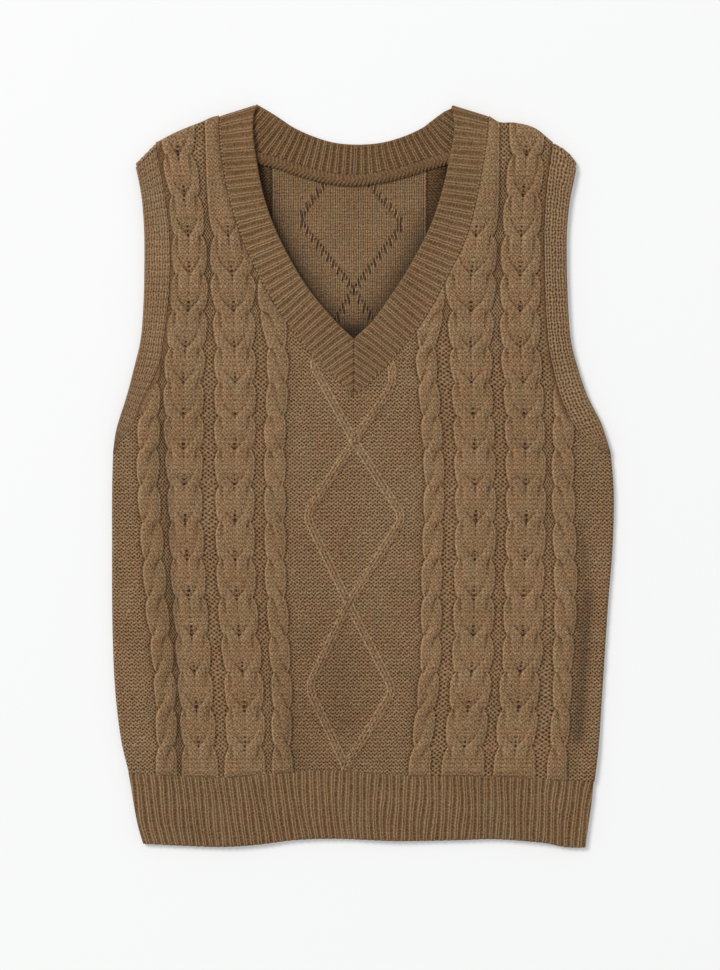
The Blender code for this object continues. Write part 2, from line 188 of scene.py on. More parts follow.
def hemEdge(x):
    return np.interp(x, hemCurve[:, 0], hemCurve[:, 1])


def hemSeam(x):
    return np.interp(x, hemCurve[:, 0], hemCurve[:, 2])


def edgeX(side, height):
    return np.interp(height, side["edge"][:, 1], side["edge"][:, 0])


lowX = np.linspace(edgeX(leftSide, 0), edgeX(rightSide, 0), 40)
foldedEdges = [side[name] for side in bothSides for name in ("edge", "shoulder")]
allEdges = foldedEdges + [np.stack([lowX, hemEdge(lowX)], 1)]
for oneSide in bothSides:
    allEdges.append(oneSide["armFree"])
    allEdges.append(np.stack([oneSide["armSeam"][-1], oneSide["armFree"][-1]]))
    allEdges.append(np.stack([oneSide["neckSeam"][-1], oneSide["neckFree"][-1]]))


# A smooth step of the distance to those lines over a width.
def fromLines(points, lines, width):
    return smooth(nearest(points, lines)[0] / width)


# Bells across lines: each row has its ends (x0, y0, x1, y1), half width and height.
def bells(points, table):
    rise = np.zeros(len(points))
    for x0, y0, x1, y1, halfWidth, height in table:
        away = nearest(points, [np.array([[x0, y0], [x1, y1]], float)])[0] / halfWidth
        rise = rise + height * np.exp(-(away**2))
    return rise


loftSettings = {"rise": 2.2, "edge": 34, "fold": 10, "hemWave": 0.7, "hemWaveLength": 120}


# The level of the front's lower face. It stands off the back by the gap and by the rise times
# a smooth step of the distance to the outline, plus a bell for each fold, plus a sine along
# the hem, down to nothing at the folds.
def frontLevel(points):
    x, y = points.T
    rise = loftSettings["rise"] * fromLines(points, allEdges, loftSettings["edge"])
    wave = loftSettings["hemWave"] * np.sin(2 * np.pi * x / loftSettings["hemWaveLength"])
    rise = rise + bells(points, foldTable) + wave * smooth(1 - y / hemTop)
    off = np.maximum(rise, 0) * fromLines(points, foldedEdges, loftSettings["fold"])
    return wall + layerGap + off


# How far the outer face has turned down: quarter rounds as wide as the wall, at folds and hem.
def edgeDrop(points):
    fromFold = nearest(points, foldedEdges)[0] / wall
    fromHem = (points[:, 1] - hemEdge(points[:, 0])) / wall
    return wall * np.maximum(0.75 * quarterRound(1 - fromFold), 0.375 * quarterRound(1 - fromHem))


# ---- meshes of triangles


# Triangles between two chains of points that run the same way: each edge goes to the point of
# the other chain that is level with its middle.
def zipStrip(a, b, placeA, placeB):
    middleA = (placeA[1:] + placeA[:-1]) / 2
    middleB = (placeB[1:] + placeB[:-1]) / 2
    toB = np.searchsorted(middleB, middleA)
    toA = np.searchsorted(middleA, middleB, side="right")
    return np.vstack([
        np.column_stack([a[:-1], a[1:], b[toB]]),
        np.column_stack([b[1:], b[:-1], a[toA]]),
    ])


# Rows of points with their triangles and the chains round their outline, counterclockwise.
class Grid:
    def __init__(self):
        self.points = []
        self.pairs = []
        self.count = 0

    def addRow(self, x, y):
        index = np.arange(self.count, self.count + len(x))
        self.points.append(np.stack([x, y], 1))
        self.count += len(x)
        return index

    def joinRows(self, rows):
        self.pairs += zip(rows, rows[1:])
        return rows

    def finish(self, chains):
        self.xy = np.vstack(self.points)
        x = self.xy[:, 0]
        self.triangles = np.vstack([zipStrip(a, b, x[a], x[b]) for a, b in self.pairs])
        self.chains = chains
        return self


def columnsBetween(low, high, step):
    columns = np.arange(math.ceil(low / step), math.floor(high / step) + 1) * step
    inside = (columns > low + 0.45 * step) & (columns < high - 0.45 * step)
    return np.concatenate([[low], columns[inside | (columns == 0)], [high]])


# The armhole and side edge of a panel: x for each height.
def outerLine(side):
    arm = beside(side["armSeam"], -side["sign"] * seamSlit)
    arm = arm[arm[:, 1] > underarm + 0.2]
    corner = [edgeX(side, underarm), underarm]
    return np.vstack([side["edge"][:-1], corner, arm])


def neckLine(side):
    return beside(side["neckSeam"], side["sign"] * seamSlit)


# Rows from the hem's seam, level but for the lowest 50 mm, up to that height.
def lowerRows(grid, columnStep, rowStep, top):
    heights = np.linspace(hemTop, top, round((top - hemTop) / rowStep) + 1)
    ends = [np.interp(heights, outerLine(side)[:, 1], outerLine(side)[:, 0]) for side in bothSides]
    rows = []
    for height, low, high in zip(heights, *ends):
        x = columnsBetween(low, high, columnStep)
        y = height + smooth(1 - (height - hemTop) / 50) * (hemSeam(x) + seamSlit - hemTop)
        rows.append(grid.addRow(x, y))
    return grid.joinRows(rows)


# One upper half of the front: rows from the armhole seam to the neck seam, straight but for
# the shoulder's bulge over the last ones.
def upperRows(grid, side, first, columnStep, rowStep):
    arm = outerLine(side)
    neck = neckLine(side)
    shoulder = side["shoulder"]
    share = np.linspace(0, 1, round((611 - pointOfV) / rowStep) + 1)[1:]
    armY = panelPoint + share * (shoulder[0, 1] - panelPoint)
    neckY = panelPoint + share * (shoulder[-1, 1] - panelPoint)
    armX = np.interp(armY, arm[:, 1], arm[:, 0])
    neckX = np.interp(neckY, neck[:, 1], neck[:, 0])
    span, heights = np.abs(shoulder[::-1].T)
    rows = [first]
    for s, x0, y0, x1, y1 in zip(share, armX, armY, neckX, neckY):
        x = columnsBetween(min(x0, x1), max(x0, x1), columnStep)
        along = (x - x0) / (x1 - x0)
        y = y0 + along * (y1 - y0)
        straight = np.interp(np.abs(x), span[[0, -1]], heights[[0, -1]])
        bulge = np.interp(np.abs(x), span, heights) - straight
        rows.append(grid.addRow(x, y + bulge * smooth((s - 0.88) / 0.12)))
    return grid.joinRows(rows)


def ends(rows, place):
    return np.array([row[place] for row in rows])


def frontGrid(columnStep, rowStep):
    grid = Grid()
    low = lowerRows(grid, columnStep, rowStep, panelPoint)
    last = low[-1]
    x = grid.points[-1][:, 0]
    centre = int(np.argmin(np.abs(x)))
    left = upperRows(grid, leftSide, last[: centre + 1], columnStep, rowStep)
    right = upperRows(grid, rightSide, last[centre:], columnStep, rowStep)
    return grid.finish([
        low[0], ends(low, -1), ends(right, -1), right[-1][::-1], ends(right, 0)[::-1],
        ends(left, -1), left[-1][::-1], ends(left, 0)[::-1], ends(low, 0)[::-1],
    ])


# The back: level rows up to 480 mm, then rows that turn little by little into its top line,
# which is the shoulders and the back neckline.
def backGrid(columnStep, rowStep):
    grid = Grid()
    levels = 480.0
    low = lowerRows(grid, columnStep, rowStep, levels)
    band = curve(backNeckTable)[:, :2]
    top = np.vstack([
        leftSide["shoulder"], beside(band, seamSlit), rightSide["shoulder"][::-1],
    ])
    top = top[np.argsort(top[:, 0], kind="stable")]
    share = np.linspace(0, 1, round(100 / rowStep) + 1)[1:]
    found = []
    for side in bothSides:
        arm = outerLine(side)
        arm = arm[arm[:, 1] >= levels - 15]
        height = np.linspace(levels, side["shoulder"][0, 1], 400)
        x = np.interp(height, arm[:, 1], arm[:, 0])
        reach = (height - levels) / (np.interp(x, top[:, 0], top[:, 1]) - levels)
        reach[-1] = 1
        order = np.argsort(reach)
        found.append(np.interp(share, reach[order], x[order]))
    rows = [low[-1]]
    for s, x0, x1 in zip(share, *found):
        x = columnsBetween(x0, x1, columnStep)
        rows.append(grid.addRow(x, levels + s * (np.interp(x, top[:, 0], top[:, 1]) - levels)))
    every = low + grid.joinRows(rows)[1:]
    return grid.finish([low[0], ends(every, -1), rows[-1][::-1], ends(every, 0)[::-1]])


def hemGrid(columnStep, rowStep):
    grid = Grid()
    share = np.concatenate([[0, 0.012, 0.03], np.linspace(0.06, 1, round(55 / rowStep))])
    topX = columnsBetween(edgeX(leftSide, hemTop), edgeX(rightSide, hemTop), columnStep)
    topY = hemSeam(topX) - seamSlit
    place = (topX - topX[0]) / (topX[-1] - topX[0])
    rows = []
    for s in share:
        x = edgeX(leftSide, 0) + place * (edgeX(rightSide, 0) - edgeX(leftSide, 0))
        y = hemEdge(x)
        x, y = x + s * (topX - x), y + s * (topY - y)
        x[0] = edgeX(leftSide, y[0])
        x[-1] = edgeX(rightSide, y[-1])
        rows.append(grid.addRow(x, y))
    grid.joinRows(rows)
    return grid.finish([rows[0], ends(rows, -1), rows[-1][::-1], ends(rows, 0)[::-1]])


def shareAlong(points):
    return lengths(points) / lengths(points)[-1]


# A closed shell from an upper and a lower grid of the same outline, zipped round the rim.
def closeShell(high, highZ, low, lowZ):
    points = np.vstack([np.column_stack([high.xy, highZ]), np.column_stack([low.xy, lowZ])])
    count = len(high.xy)
    rims = []
    for top, bottom in zip(high.chains, low.chains):
        places = shareAlong(low.xy[bottom]), shareAlong(high.xy[top])
        rims.append(zipStrip(bottom + count, top, *places))
    faces = np.vstack([high.triangles, low.triangles[:, ::-1] + count, *rims])
    kind = np.repeat([0, 1, 2], [len(high.triangles), len(low.triangles), sum(map(len, rims))])
    return points, faces, kind


# ---- cables and diamonds of the body

# Each cable: kind, lean, half widths as (height, half) and its centre line as (height, x).

cableTable = [
    ("rope", 1, [
        (68, 8.3), (130, 8.9), (200, 9.3),
    ], [
        (68.5, -156.5), (97.5, -156.5), (132, -157.5), (168.5, -160.5), (199.5, -164.5),
        (220, -166), (308.5, -172), (373.5, -171),
    ]),
    ("braid", 1, [
        (300, 14.4), (345, 16.6), (430, 16.6), (480, 14.8), (540, 13.8),
    ], [
        (68.5, -128.5), (97.5, -130), (130, -132), (162, -134), (220, -138), (273.5, -140.5),
        (332, -142), (392, -142), (421, -140), (453.5, -138), (480.5, -137), (510.5, -138),
        (548, -141.5), (580.5, -147),
    ]),
    ("braid", 1, [
        (300, 16.2), (360, 17.2), (430, 17.2), (455, 17.4), (478, 19.2), (500, 16), (510, 14.8),
        (545, 15.6), (600, 13.6),
    ], [
        (68.5, -91), (97.5, -90.5), (130, -91.5), (162, -93.5), (176, -95.5), (220, -98),
        (246, -99), (332, -99.5), (393, -99), (421, -99.5), (449.5, -100.5), (472, -101),
        (489, -102.5), (510.5, -104.5), (603, -111),
    ]),
    ("rope", -1, [
        (68, 8.3), (150, 8.7), (300, 9), (425, 9.2), (440, 10.6), (447, 12.6), (454, 11), (470, 8),
    ], [
        (68.5, -59.5), (101, -60.5), (130, -60), (162, -62), (196, -63.5), (220, -65.5),
        (308.5, -66), (348, -66), (380.5, -64), (405.5, -63.5), (423, -65), (440, -67),
        (454, -69.5), (470, -72),
    ]),
    ("rope", 1, [
        (0, 8.7), (425, 8.7), (440, 11), (447, 14), (454, 12.5), (470, 9),
    ], [
        (68.5, 54.5), (100, 58), (130, 61.5), (162, 64), (220, 64.5), (308.5, 67), (343.5, 65),
        (373, 63), (407, 60), (427, 61.5), (444, 62.8), (457, 64), (470, 65),
    ]),
    ("braid", 1, [
        (390, 17), (425, 18.2), (461, 20), (478, 22), (495, 18.5), (510, 17.4), (545, 17.8),
        (600, 14.5),
    ], [
        (68.5, 90.5), (98.5, 93.5), (115, 95), (130, 96.5), (162, 99), (211, 100), (273.5, 101.5),
        (332, 100.5), (361, 99.5), (388, 98), (417, 97), (447, 97.5), (461, 97), (478, 97.5),
        (495, 100), (504.5, 101.5), (544.5, 103), (603, 107),
    ]),
    ("braid", 1, [
        (500, 16.6), (545, 15.4), (575, 14.6),
    ], [
        (68.5, 133.5), (97.5, 135), (113.5, 137), (142.5, 138), (162, 140.5), (220, 141.5),
        (273.5, 143.5), (332, 143), (357, 142), (388, 141), (416, 138.5), (480.5, 138.5),
        (510.5, 139.5), (545.5, 141), (580.5, 144),
    ]),
    ("rope", -1, [
        (130, 8), (160, 8.7), (190, 9.4), (230, 10), (300, 9.6), (373, 8.6),
    ], [
        (68.5, 169), (97.5, 171.5), (130, 173.5), (159.5, 174), (191, 176), (220, 176.5),
        (308.5, 174), (373.5, 174.5),
    ]),
]
crossings = np.array([
    84.2, 115.5, 146, 176.8, 208.5, 240.2, 271.1, 301.9, 331.9, 359.5, 387.8, 416.2, 447,
    477.9, 509.6, 542.9, 577.1, 611,
])
diamondTable = [
    [(55, -6), (68.5, -7), (134.5, -38), (204, -4.5), (276, 41), (339.5, 0), (404, -35),
     (465.5, 0), (521, 42), (578, -8)],
    [(55, -8), (68.5, -7), (131.5, 33), (204, -4.5), (277.5, -40), (339.5, 0), (384, 31), (396, 33),
     (408, 29), (425, 24.5), (465.5, 0), (524, -46.5), (578, -8)],
]

bodySettings = {
    "rise": 2.1,  # how far a cable stands above the purl ground
    "lift": 0.8,  # how much further the strand that crosses over does
    "dive": 0.9,  # how far the strands that it covers sink beside it
    "braidRound": 0.5,  # share of the rise in a braid's rounded strands
    "ropeRound": 0.6,  # the same for a two-strand rope
    "ridgeRise": 1.4,  # of the diamonds' ridges
    "ridgeHalf": 4.1,
    "ground": -0.5,  # of the purl ground against the solid's face
    "waves": 0.22,  # small unevenness of laid cloth
    "columnStep": 1.35,
    "rowStep": 1.55,
    "backColumnStep": 1.8,
    "backRowStep": 1.75,
    "hiddenStep": 4.2,
    "upperFrom": 370,  # above this height the braids' crossings are narrower
    "plainFrom": 520,  # and above this one the inner braids are plain
    "strandCourse": 3.6,  # courses of the strands, of narrow gaps and of the inside
    "gapCourse": 3.7,
    "insideCourse": 2.57,
    "strandWale": 3.3,  # wales of the strands and of the inside
    "insideWale": 3.88,
}

cableCount = len(cableTable)
innerBraids = (2, 5)
cableIsBraid = np.array([row[0] == "braid" for row in cableTable])
cableLean = np.array([row[1] for row in cableTable])
cableHalf = [np.array(row[2], float) for row in cableTable]
cableLines = [np.array(row[3], float) for row in cableTable]


# x of every cable's centre line at those heights, and its half width there.
def cableCentres(y):
    centres = np.stack([np.interp(y, line[:, 0], line[:, 1]) for line in cableLines])
    return centres, np.stack([np.interp(y, line[:, 0], line[:, 1]) for line in cableHalf])


# Phase from the nearest crossing, in repeats: above it positive, and none below the lowest.
def phaseOf(y, crossing=None):
    spacing = np.diff(crossings)
    place = np.interp(y, crossings, np.arange(len(crossings)))
    place = np.where(y < crossings[0], (y - crossings[0]) / spacing[0], place)
    if crossing is None:
        crossing = np.maximum(np.round(place), 0)
    return place - crossing, crossing


# The two edges of the strand that crosses over, as shares of the cable's half width. In a
# braid it comes in from the outside over the inner strand; in a rope it goes right across.
# The inner edge closes like a quarter sine and the outer one opens like a quarter ellipse.
def strandEdges(phase, braid):
    closing = np.sin(np.pi / 2 * np.clip(np.where(braid, phase, phase + 0.03) / 0.5, 0, 1))
    opening = quarterRound(np.where(braid, (phase + 0.37) / 0.42, (phase + 0.44) / 0.47))
    inner = np.where(braid, 0.6 * closing, closing - 1)
    return inner, np.where(braid, 0.6 + 0.4 * opening, opening)


# The pattern at each point: nearest cable, place across it, its strands and relief in mm. The
# cable's outline is quarter ellipses from one crossing to the next, and a strand's section is
# one minus its share of the half width to the power 2.4.
def bodyPattern(x, y, crossing=None, cable=None):
    centres, halves = cableCentres(y)
    if cable is None:
        cable = (np.abs(x - centres) - halves).argmin(0)
    across = x - centres[cable, np.arange(len(x))]
    braid = cableIsBraid[cable]
    upper = smooth((y - bodySettings["upperFrom"]) / 80)
    phase, crossing = phaseOf(y, crossing)
    crossed = 1 - np.isin(cable, innerBraids) * smooth((y - bodySettings["plainFrom"]) / 14)
    pinch = quarterRound(1 - 2 * np.abs(phase - 0.02)) * crossed
    lobe = np.exp(-(((phase + 0.24) / 0.17) ** 2)) * crossed
    half = halves[cable, np.arange(len(x))]
    notch = np.where(braid, 0.26 + 0.03 * upper, 0.4)
    half = half * (1 - pinch * notch + 0.04 * lobe)
    half = half * (1 + 0.06 * smooth(1 - (y - hemTop) / 22))
    inner, outer = strandEdges(phase, braid)
    place = np.where(braid, np.abs(across), across * cableLean[cable]) / half
    start = np.where(braid, 0.0, -1.0)
    zone = (place > inner).astype(int) + (place > outer)
    low = np.choose(zone, [start, inner, outer])
    high = np.choose(zone, [inner, outer, np.ones(len(x))])
    share = np.clip((place - low) / np.maximum(high - low, 0.05), 0, 1)
    section = 1 - np.abs(2 * share - 1) ** 2.4
    near = np.exp(-((phase / 0.3) ** 2)) * crossed
    plateau = np.sqrt(np.clip(1 - np.clip(np.abs(across) / half, 0, 1) ** 5, 0, 1))
    roundness = np.where(braid, bodySettings["braidRound"], bodySettings["ropeRound"])
    roundness = roundness * (0.5 + 0.5 * near) * crossed
    height = bodySettings["rise"] * ((1 - roundness) * plateau + roundness * section)
    raised = bodySettings["lift"] * near * smooth(section * 1.6)
    sunk = -bodySettings["dive"] * near * plateau
    height = height + np.where(zone == 1, raised, sunk)
    edge = half - np.abs(across)
    height = np.where(edge > 0, np.maximum(height, 0), 0)
    return {
        "cable": cable, "across": across, "braid": braid, "phase": phase, "crossing": crossing,
        "half": half, "edge": edge, "zone": zone, "share": share, "height": height,
        "toInner": (place - inner) * half, "toOuter": (place - outer) * half,
        "near": (0.3 * upper + (0.85 - 0.15 * upper) * np.exp(-((phase / 0.34) ** 2))) * crossed,
        "dots": braid * crossed,
    }


# x of a ridge at those heights: straight between its corners, averaged over 12 mm.
def ridgeLine(table, y):
    knots = np.array(table, float)
    reach = [-6, -3, 0, 3, 6]
    return sum(np.interp(y + d, knots[:, 0], knots[:, 1]) for d in reach) / len(reach)


# Creases, as bells.
creaseTable = [
    (-157.6, 352, -143.2, 62, 3.1, -1.15), (190.5, 268, 195.4, 220, 5, -0.7),
    (195.8, 210, 188.6, 92, 5.2, -1.75),
    (-8, 160, -6, 100, 12, -0.5),
    (120, 345, 122, 300, 14, 0.3), (-60, 150, -48, 66, 9, -0.4), (55, 140, 47, 64, 8, -0.3),
    (-120, 470, -118, 560, 4, -0.6), (118, 470, 124, 560, 4, -0.5),
]


# How far each point is to the right of each diamond ridge, square to it.
def ridgeAway(x, y):
    away = []
    for table in diamondTable:
        slope = (ridgeLine(table, y + 1) - ridgeLine(table, y - 1)) / 2
        away.append((x - ridgeLine(table, y)) / np.sqrt(1 + slope**2))
    return away


# The diamonds: two ridges of three strands that cross, one over the other. The section is the
# root of one less the share of the half width to the power 2.6, and a cosine for the strands.
def ridgePattern(x, y):
    near = np.full(len(x), 99.0)
    rise = np.zeros(len(x))
    level = 0.5 + 0.5 * np.cos(2 * np.pi * (y - 204) / 270)
    half = bodySettings["ridgeHalf"]
    for number, away in enumerate(ridgeAway(x, y)):
        section = np.sqrt(np.clip(1 - np.abs(away / half) ** 2.6, 0, 1))
        raised = 0.35 * (1 - level if number else level)
        cords = 0.07 * np.cos(3 * np.pi * away / half)
        own = (bodySettings["ridgeRise"] + raised + cords) * section
        near = np.where(own > rise, away, near)
        rise = np.maximum(own, rise)
    return near, rise, half - np.abs(near)


# Low waves of laid cloth: two products of sines with wavelengths of 6 to 15 cm.
def waves(x, y):
    first = np.sin(x / 13 + 1.3 * np.sin(y / 31)) * np.sin(y / 17 + 0.8)
    second = np.sin(y / 24 + 1.1 * np.sin(x / 23 + 2))
    return bodySettings["waves"] * (0.6 * first + 0.4 * second)


# Wales counted across the purl ground: two in each gap between cables, 30 in the middle, and
# of the plain width beside the outer cables.
def groundWales(x, y, gap):
    centres, halves = cableCentres(y)
    rows = np.arange(len(x))
    leftCable = np.clip(gap - 1, 0, cableCount - 1)
    rightCable = np.clip(gap, 0, cableCount - 1)
    low = centres[leftCable, rows] + halves[leftCable, rows]
    high = centres[rightCable, rows] - halves[rightCable, rows]
    count = np.where(gap == 4, 30, 2)
    between = count * (x - (low + high) / 2) / np.maximum(high - low, 4)
    between = np.where(gap == 0, (x - high) / waleWidth, between)
    return np.where(gap == cableCount, (x - low) / waleWidth, between)


# ---- shader values and node groups


# Gives a node its inputs: values are linked, and numbers are set on its own sockets.
def setInputs(node, inputs):
    for label, value in inputs.items():
        if isinstance(value, Value):
            value.tree.links.new(value.socket, node.inputs[label])
        else:
            node.inputs[label].default_value = value
    return node


def addNode(tree, kind, inputs, **options):
    node = tree.nodes.new("ShaderNode" + kind)
    for name, choice in options.items():
        setattr(node, name, choice)
    return setInputs(node, inputs)


# A value in a node tree. What is worked out from it is a node, and again a value.
class Value:
    def __init__(self, tree, socket):
        self.tree = tree
        self.socket = socket

    def use(self, kind, inputs, output=0, **options):
        return Value(self.tree, addNode(self.tree, kind, inputs, **options).outputs[output])

    def calc(self, operation, other=0.0):
        return self.use("Math", {0: self, 1: other}, operation=operation)

    def __add__(self, other):
        return self.calc("ADD", other)

    def __sub__(self, other):
        return self.calc("SUBTRACT", other)

    def __rsub__(self, other):
        return self * -1.0 + other

    def __mul__(self, other):
        return self.calc("MULTIPLY", other)

    def __abs__(self):
        return self.calc("ABSOLUTE")

    __radd__ = __add__
    __rmul__ = __mul__

    # Smooth step from 0 at one limit to 1 at the other.
    def step(self, zero, one):
        limits = {"From Min": min(zero, one), "From Max": max(zero, one)}
        ends = {"To Min": float(zero > one), "To Max": float(zero < one)}
        options = {"interpolation_type": "SMOOTHSTEP"}
        return self.use("MapRange", {"Value": self, **limits, **ends}, "Result", **options)

    # The cosine of that many turns for each unit, moved by a shift in radians.
    def cosine(self, turns=1, shift=0.0):
        return (self * (2 * math.pi * turns) + shift).calc("COSINE")

    # A bell: e to the minus square of the distance from a place over a width.
    def bell(self, place, width):
        away = (self - place).calc("DIVIDE", width)
        return (away * away * -1.0).calc("EXPONENT")

    def noise(self, scale, detail=1.0):
        return self.use("TexNoise", {"Vector": self, "Scale": scale, "Detail": detail}, "Fac")

    def split(self):
        node = addNode(self.tree, "SeparateXYZ", {0: self})
        return [Value(self.tree, socket) for socket in node.outputs]


# The first value where the share is 0 and the second where it is 1.
def blend(share, first, second):
    return share * (second - first) + first


# A node group of that name, from a function that works out its outputs from its inputs.
def makeGroup(name, inputs, outputs, work):
    kinds = {"UV": "NodeSocketVector", "Place": "NodeSocketVector", "Color": "NodeSocketColor"}
    tree = bpy.data.node_groups.new(name, "ShaderNodeTree")
    for way, labels in (("INPUT", inputs), ("OUTPUT", outputs)):
        for label in labels:
            kind = kinds.get(label, "NodeSocketFloat")
            tree.interface.new_socket(label, in_out=way, socket_type=kind)
    source = tree.nodes.new("NodeGroupInput")
    sink = tree.nodes.new("NodeGroupOutput")
    results = work(*[Value(tree, source.outputs[label]) for label in inputs])
    for label, result in zip(outputs, results):
        tree.links.new(result.socket, sink.inputs[label])
    return tree


# Tones run from 0, deep in a hole, to 1, on a lit strand. UVs count stitches.

# Purl side: dark holes in a staggered lattice, cos(2 pi u) cos(2 pi v), on rows as strong as
# Rows that lie a fifth of a course off it, cos(2 pi (v - 0.2)), so that the light between them
# is wavy lines.
def purlStitches(uv, rows):
    u, v, _ = uv.split()
    wobble = uv.noise(0.8) - 0.5
    u = u + wobble * 0.8
    v = v - wobble * 0.6
    wave = (v - 0.2).cosine() * rows + u.cosine() * v.cosine()
    hole = wave.step(0.45, 1.15)
    depth = uv.noise(1.7) * 1.4 + 0.3
    tone = 0.51 - wave * 0.3 - u.cosine(2) * 0.05 - hole * depth * 0.3
    return tone, 0.5 - wave * 0.4


# Knit side: in each wale two legs, bright lines as strong as Legs, with rows across them,
# cos(2 pi (v - lean |f|)), as strong as Rows, a staggered lattice, cos(2 pi u) cos(2 pi v), as
# strong as Specks, and a dark line between wales as deep as Gutter.
def knitStitches(uv, lean, gutter, legs, rows, specks):
    u, v, _ = uv.split()
    wobble = uv.noise(0.9) - 0.5
    u = u + wobble * 0.3
    v = v + wobble * 1.5
    off = abs(u.calc("FRACT") - 0.5)
    row = (v - off * lean).cosine() * 0.5 + 0.5
    leg = off.bell(0.26, 0.1)
    gap = off.step(0.34, 0.5) * gutter
    tone = 0.41 + row * rows + u.cosine() * v.cosine() * specks + leg * legs - gap * 0.3
    return tone, row * 0.5 + leg * 0.4 - gap


# Rib: one knit column for each whole u, shown as two bright lines that stand Spread off its
# middle, and a groove, as wide and as dark as the inputs say, with dashes in it.
def ribStitches(uv, spread, lines, groove, depth, dashes):
    u, v, _ = uv.split()
    u = u + (uv.noise(0.7) - 0.5) * 0.16
    off = abs((u + 0.5).calc("FRACT") - 0.5)
    line = off.bell(spread, 0.06)
    low = off.bell(0.5, groove)
    stitch = (v - off).cosine() * 0.5 + 0.5
    dash = (v.cosine(1, 0.6) * 0.5 + 0.5) * dashes
    tone = 0.38 + line * lines - off.bell(0.0, 0.06) * 0.08 + stitch * 0.04
    return tone - low * (dash + depth), line * 0.5 + stitch * 0.25 - low * (dash + 0.2)


yarnSettings = {
    "stops": [
        (0, (0.028, 0.0095, 0.002)), (0.25, (0.105, 0.051, 0.016)), (0.5, (0.218, 0.127, 0.059)),
        (0.75, (0.335, 0.215, 0.12)), (1, (0.49, 0.345, 0.22)),
    ],
    "warmTint": (1.035, 0.97, 0.94, 1),
    "coolTint": (0.98, 1.005, 0.99, 1),
    "specks": 800,  # scales of the noises, in turns for each metre
    "clouds": 38,
    "hues": 62,
    "gloss": {"Roughness": 0.92, "Specular IOR Level": 0.15},
    "sheen": {"Sheen Weight": 0.08, "Sheen Roughness": 0.6},
    "stitches": {"Strength": 0.75, "Distance": 0.0013},
    "fuzz": {"Strength": 0.6, "Distance": 0.0004},
}


# The yarn's colour for a tone, with fine specks and a slow change of hue between two tints,
# less the share Shade, which is painted shade.
def yarnLook(tone, place, shade):
    fine = place.noise(yarnSettings["specks"], 2)
    clouds = place.noise(yarnSettings["clouds"], 2)
    tone = tone + (fine - 0.5) * 0.75 + (clouds - 0.5) * 0.16
    ramp = addNode(place.tree, "ValToRGB", {"Fac": tone})
    stops = ramp.color_ramp.elements
    for position, colour in yarnSettings["stops"]:
        stop = stops[-position] if position in (0, 1) else stops.new(position)
        stop.color = (*colour, 1)
    hue = place.noise(yarnSettings["hues"], 3).step(0.35, 0.65)
    tints = {"Factor": hue, 6: yarnSettings["warmTint"], 7: yarnSettings["coolTint"]}
    tint = place.use("Mix", tints, 2, data_type="RGBA")
    parts = {"Factor": 1.0, 6: Value(place.tree, ramp.outputs["Color"]), 7: tint}
    tinted = place.use("Mix", parts, 2, data_type="RGBA", blend_type="MULTIPLY")
    return place.use("VectorMath", {0: tinted, "Scale": 1.0 - shade}, operation="SCALE"), fine


face = ["Tone", "Height"]
purlFace = makeGroup("purlFace", ["UV", "Rows"], face, purlStitches)
knitInputs = ["UV", "Lean", "Gutter", "Legs", "Rows", "Specks"]
knitFace = makeGroup("knitFace", knitInputs, face, knitStitches)
ribInputs = ["UV", "Spread", "Lines", "Groove", "Depth", "Dashes"]
ribFace = makeGroup("ribFace", ribInputs, face, ribStitches)
yarnColour = makeGroup("yarnColour", ["Tone", "Place", "Shade"], ["Color", "Fuzz"], yarnLook)
print("node groups made")


# ---- materials


def useGroup(tree, group, **values):
    node = addNode(tree, "Group", values, node_tree=group)
    return [Value(tree, socket) for socket in node.outputs]


def uvOf(tree, name):
    return Value(tree, addNode(tree, "UVMap", {}, uv_map=name).outputs["UV"])


def attributeOf(tree, name, output="Fac"):
    return Value(tree, addNode(tree, "Attribute", {}, attribute_name=name).outputs[output])


def startMaterial(name):
    made = bpy.data.materials.new(name)
    made.use_nodes = True
    return made, made.node_tree


def finishMaterial(tree, tone, height, shade=0.0):
    place = Value(tree, tree.nodes.new("ShaderNodeTexCoord").outputs["Object"])
    colour, fuzz = useGroup(tree, yarnColour, Tone=tone, Place=place, Shade=shade)
    bump = place.use("Bump", {"Height": height, **yarnSettings["stitches"]})
    bump = place.use("Bump", {"Height": fuzz, "Normal": bump, **yarnSettings["fuzz"]})
    shader = setInputs(tree.nodes["Principled BSDF"], {"Base Color": colour, "Normal": bump})
    setInputs(shader, {**yarnSettings["gloss"], **yarnSettings["sheen"]})
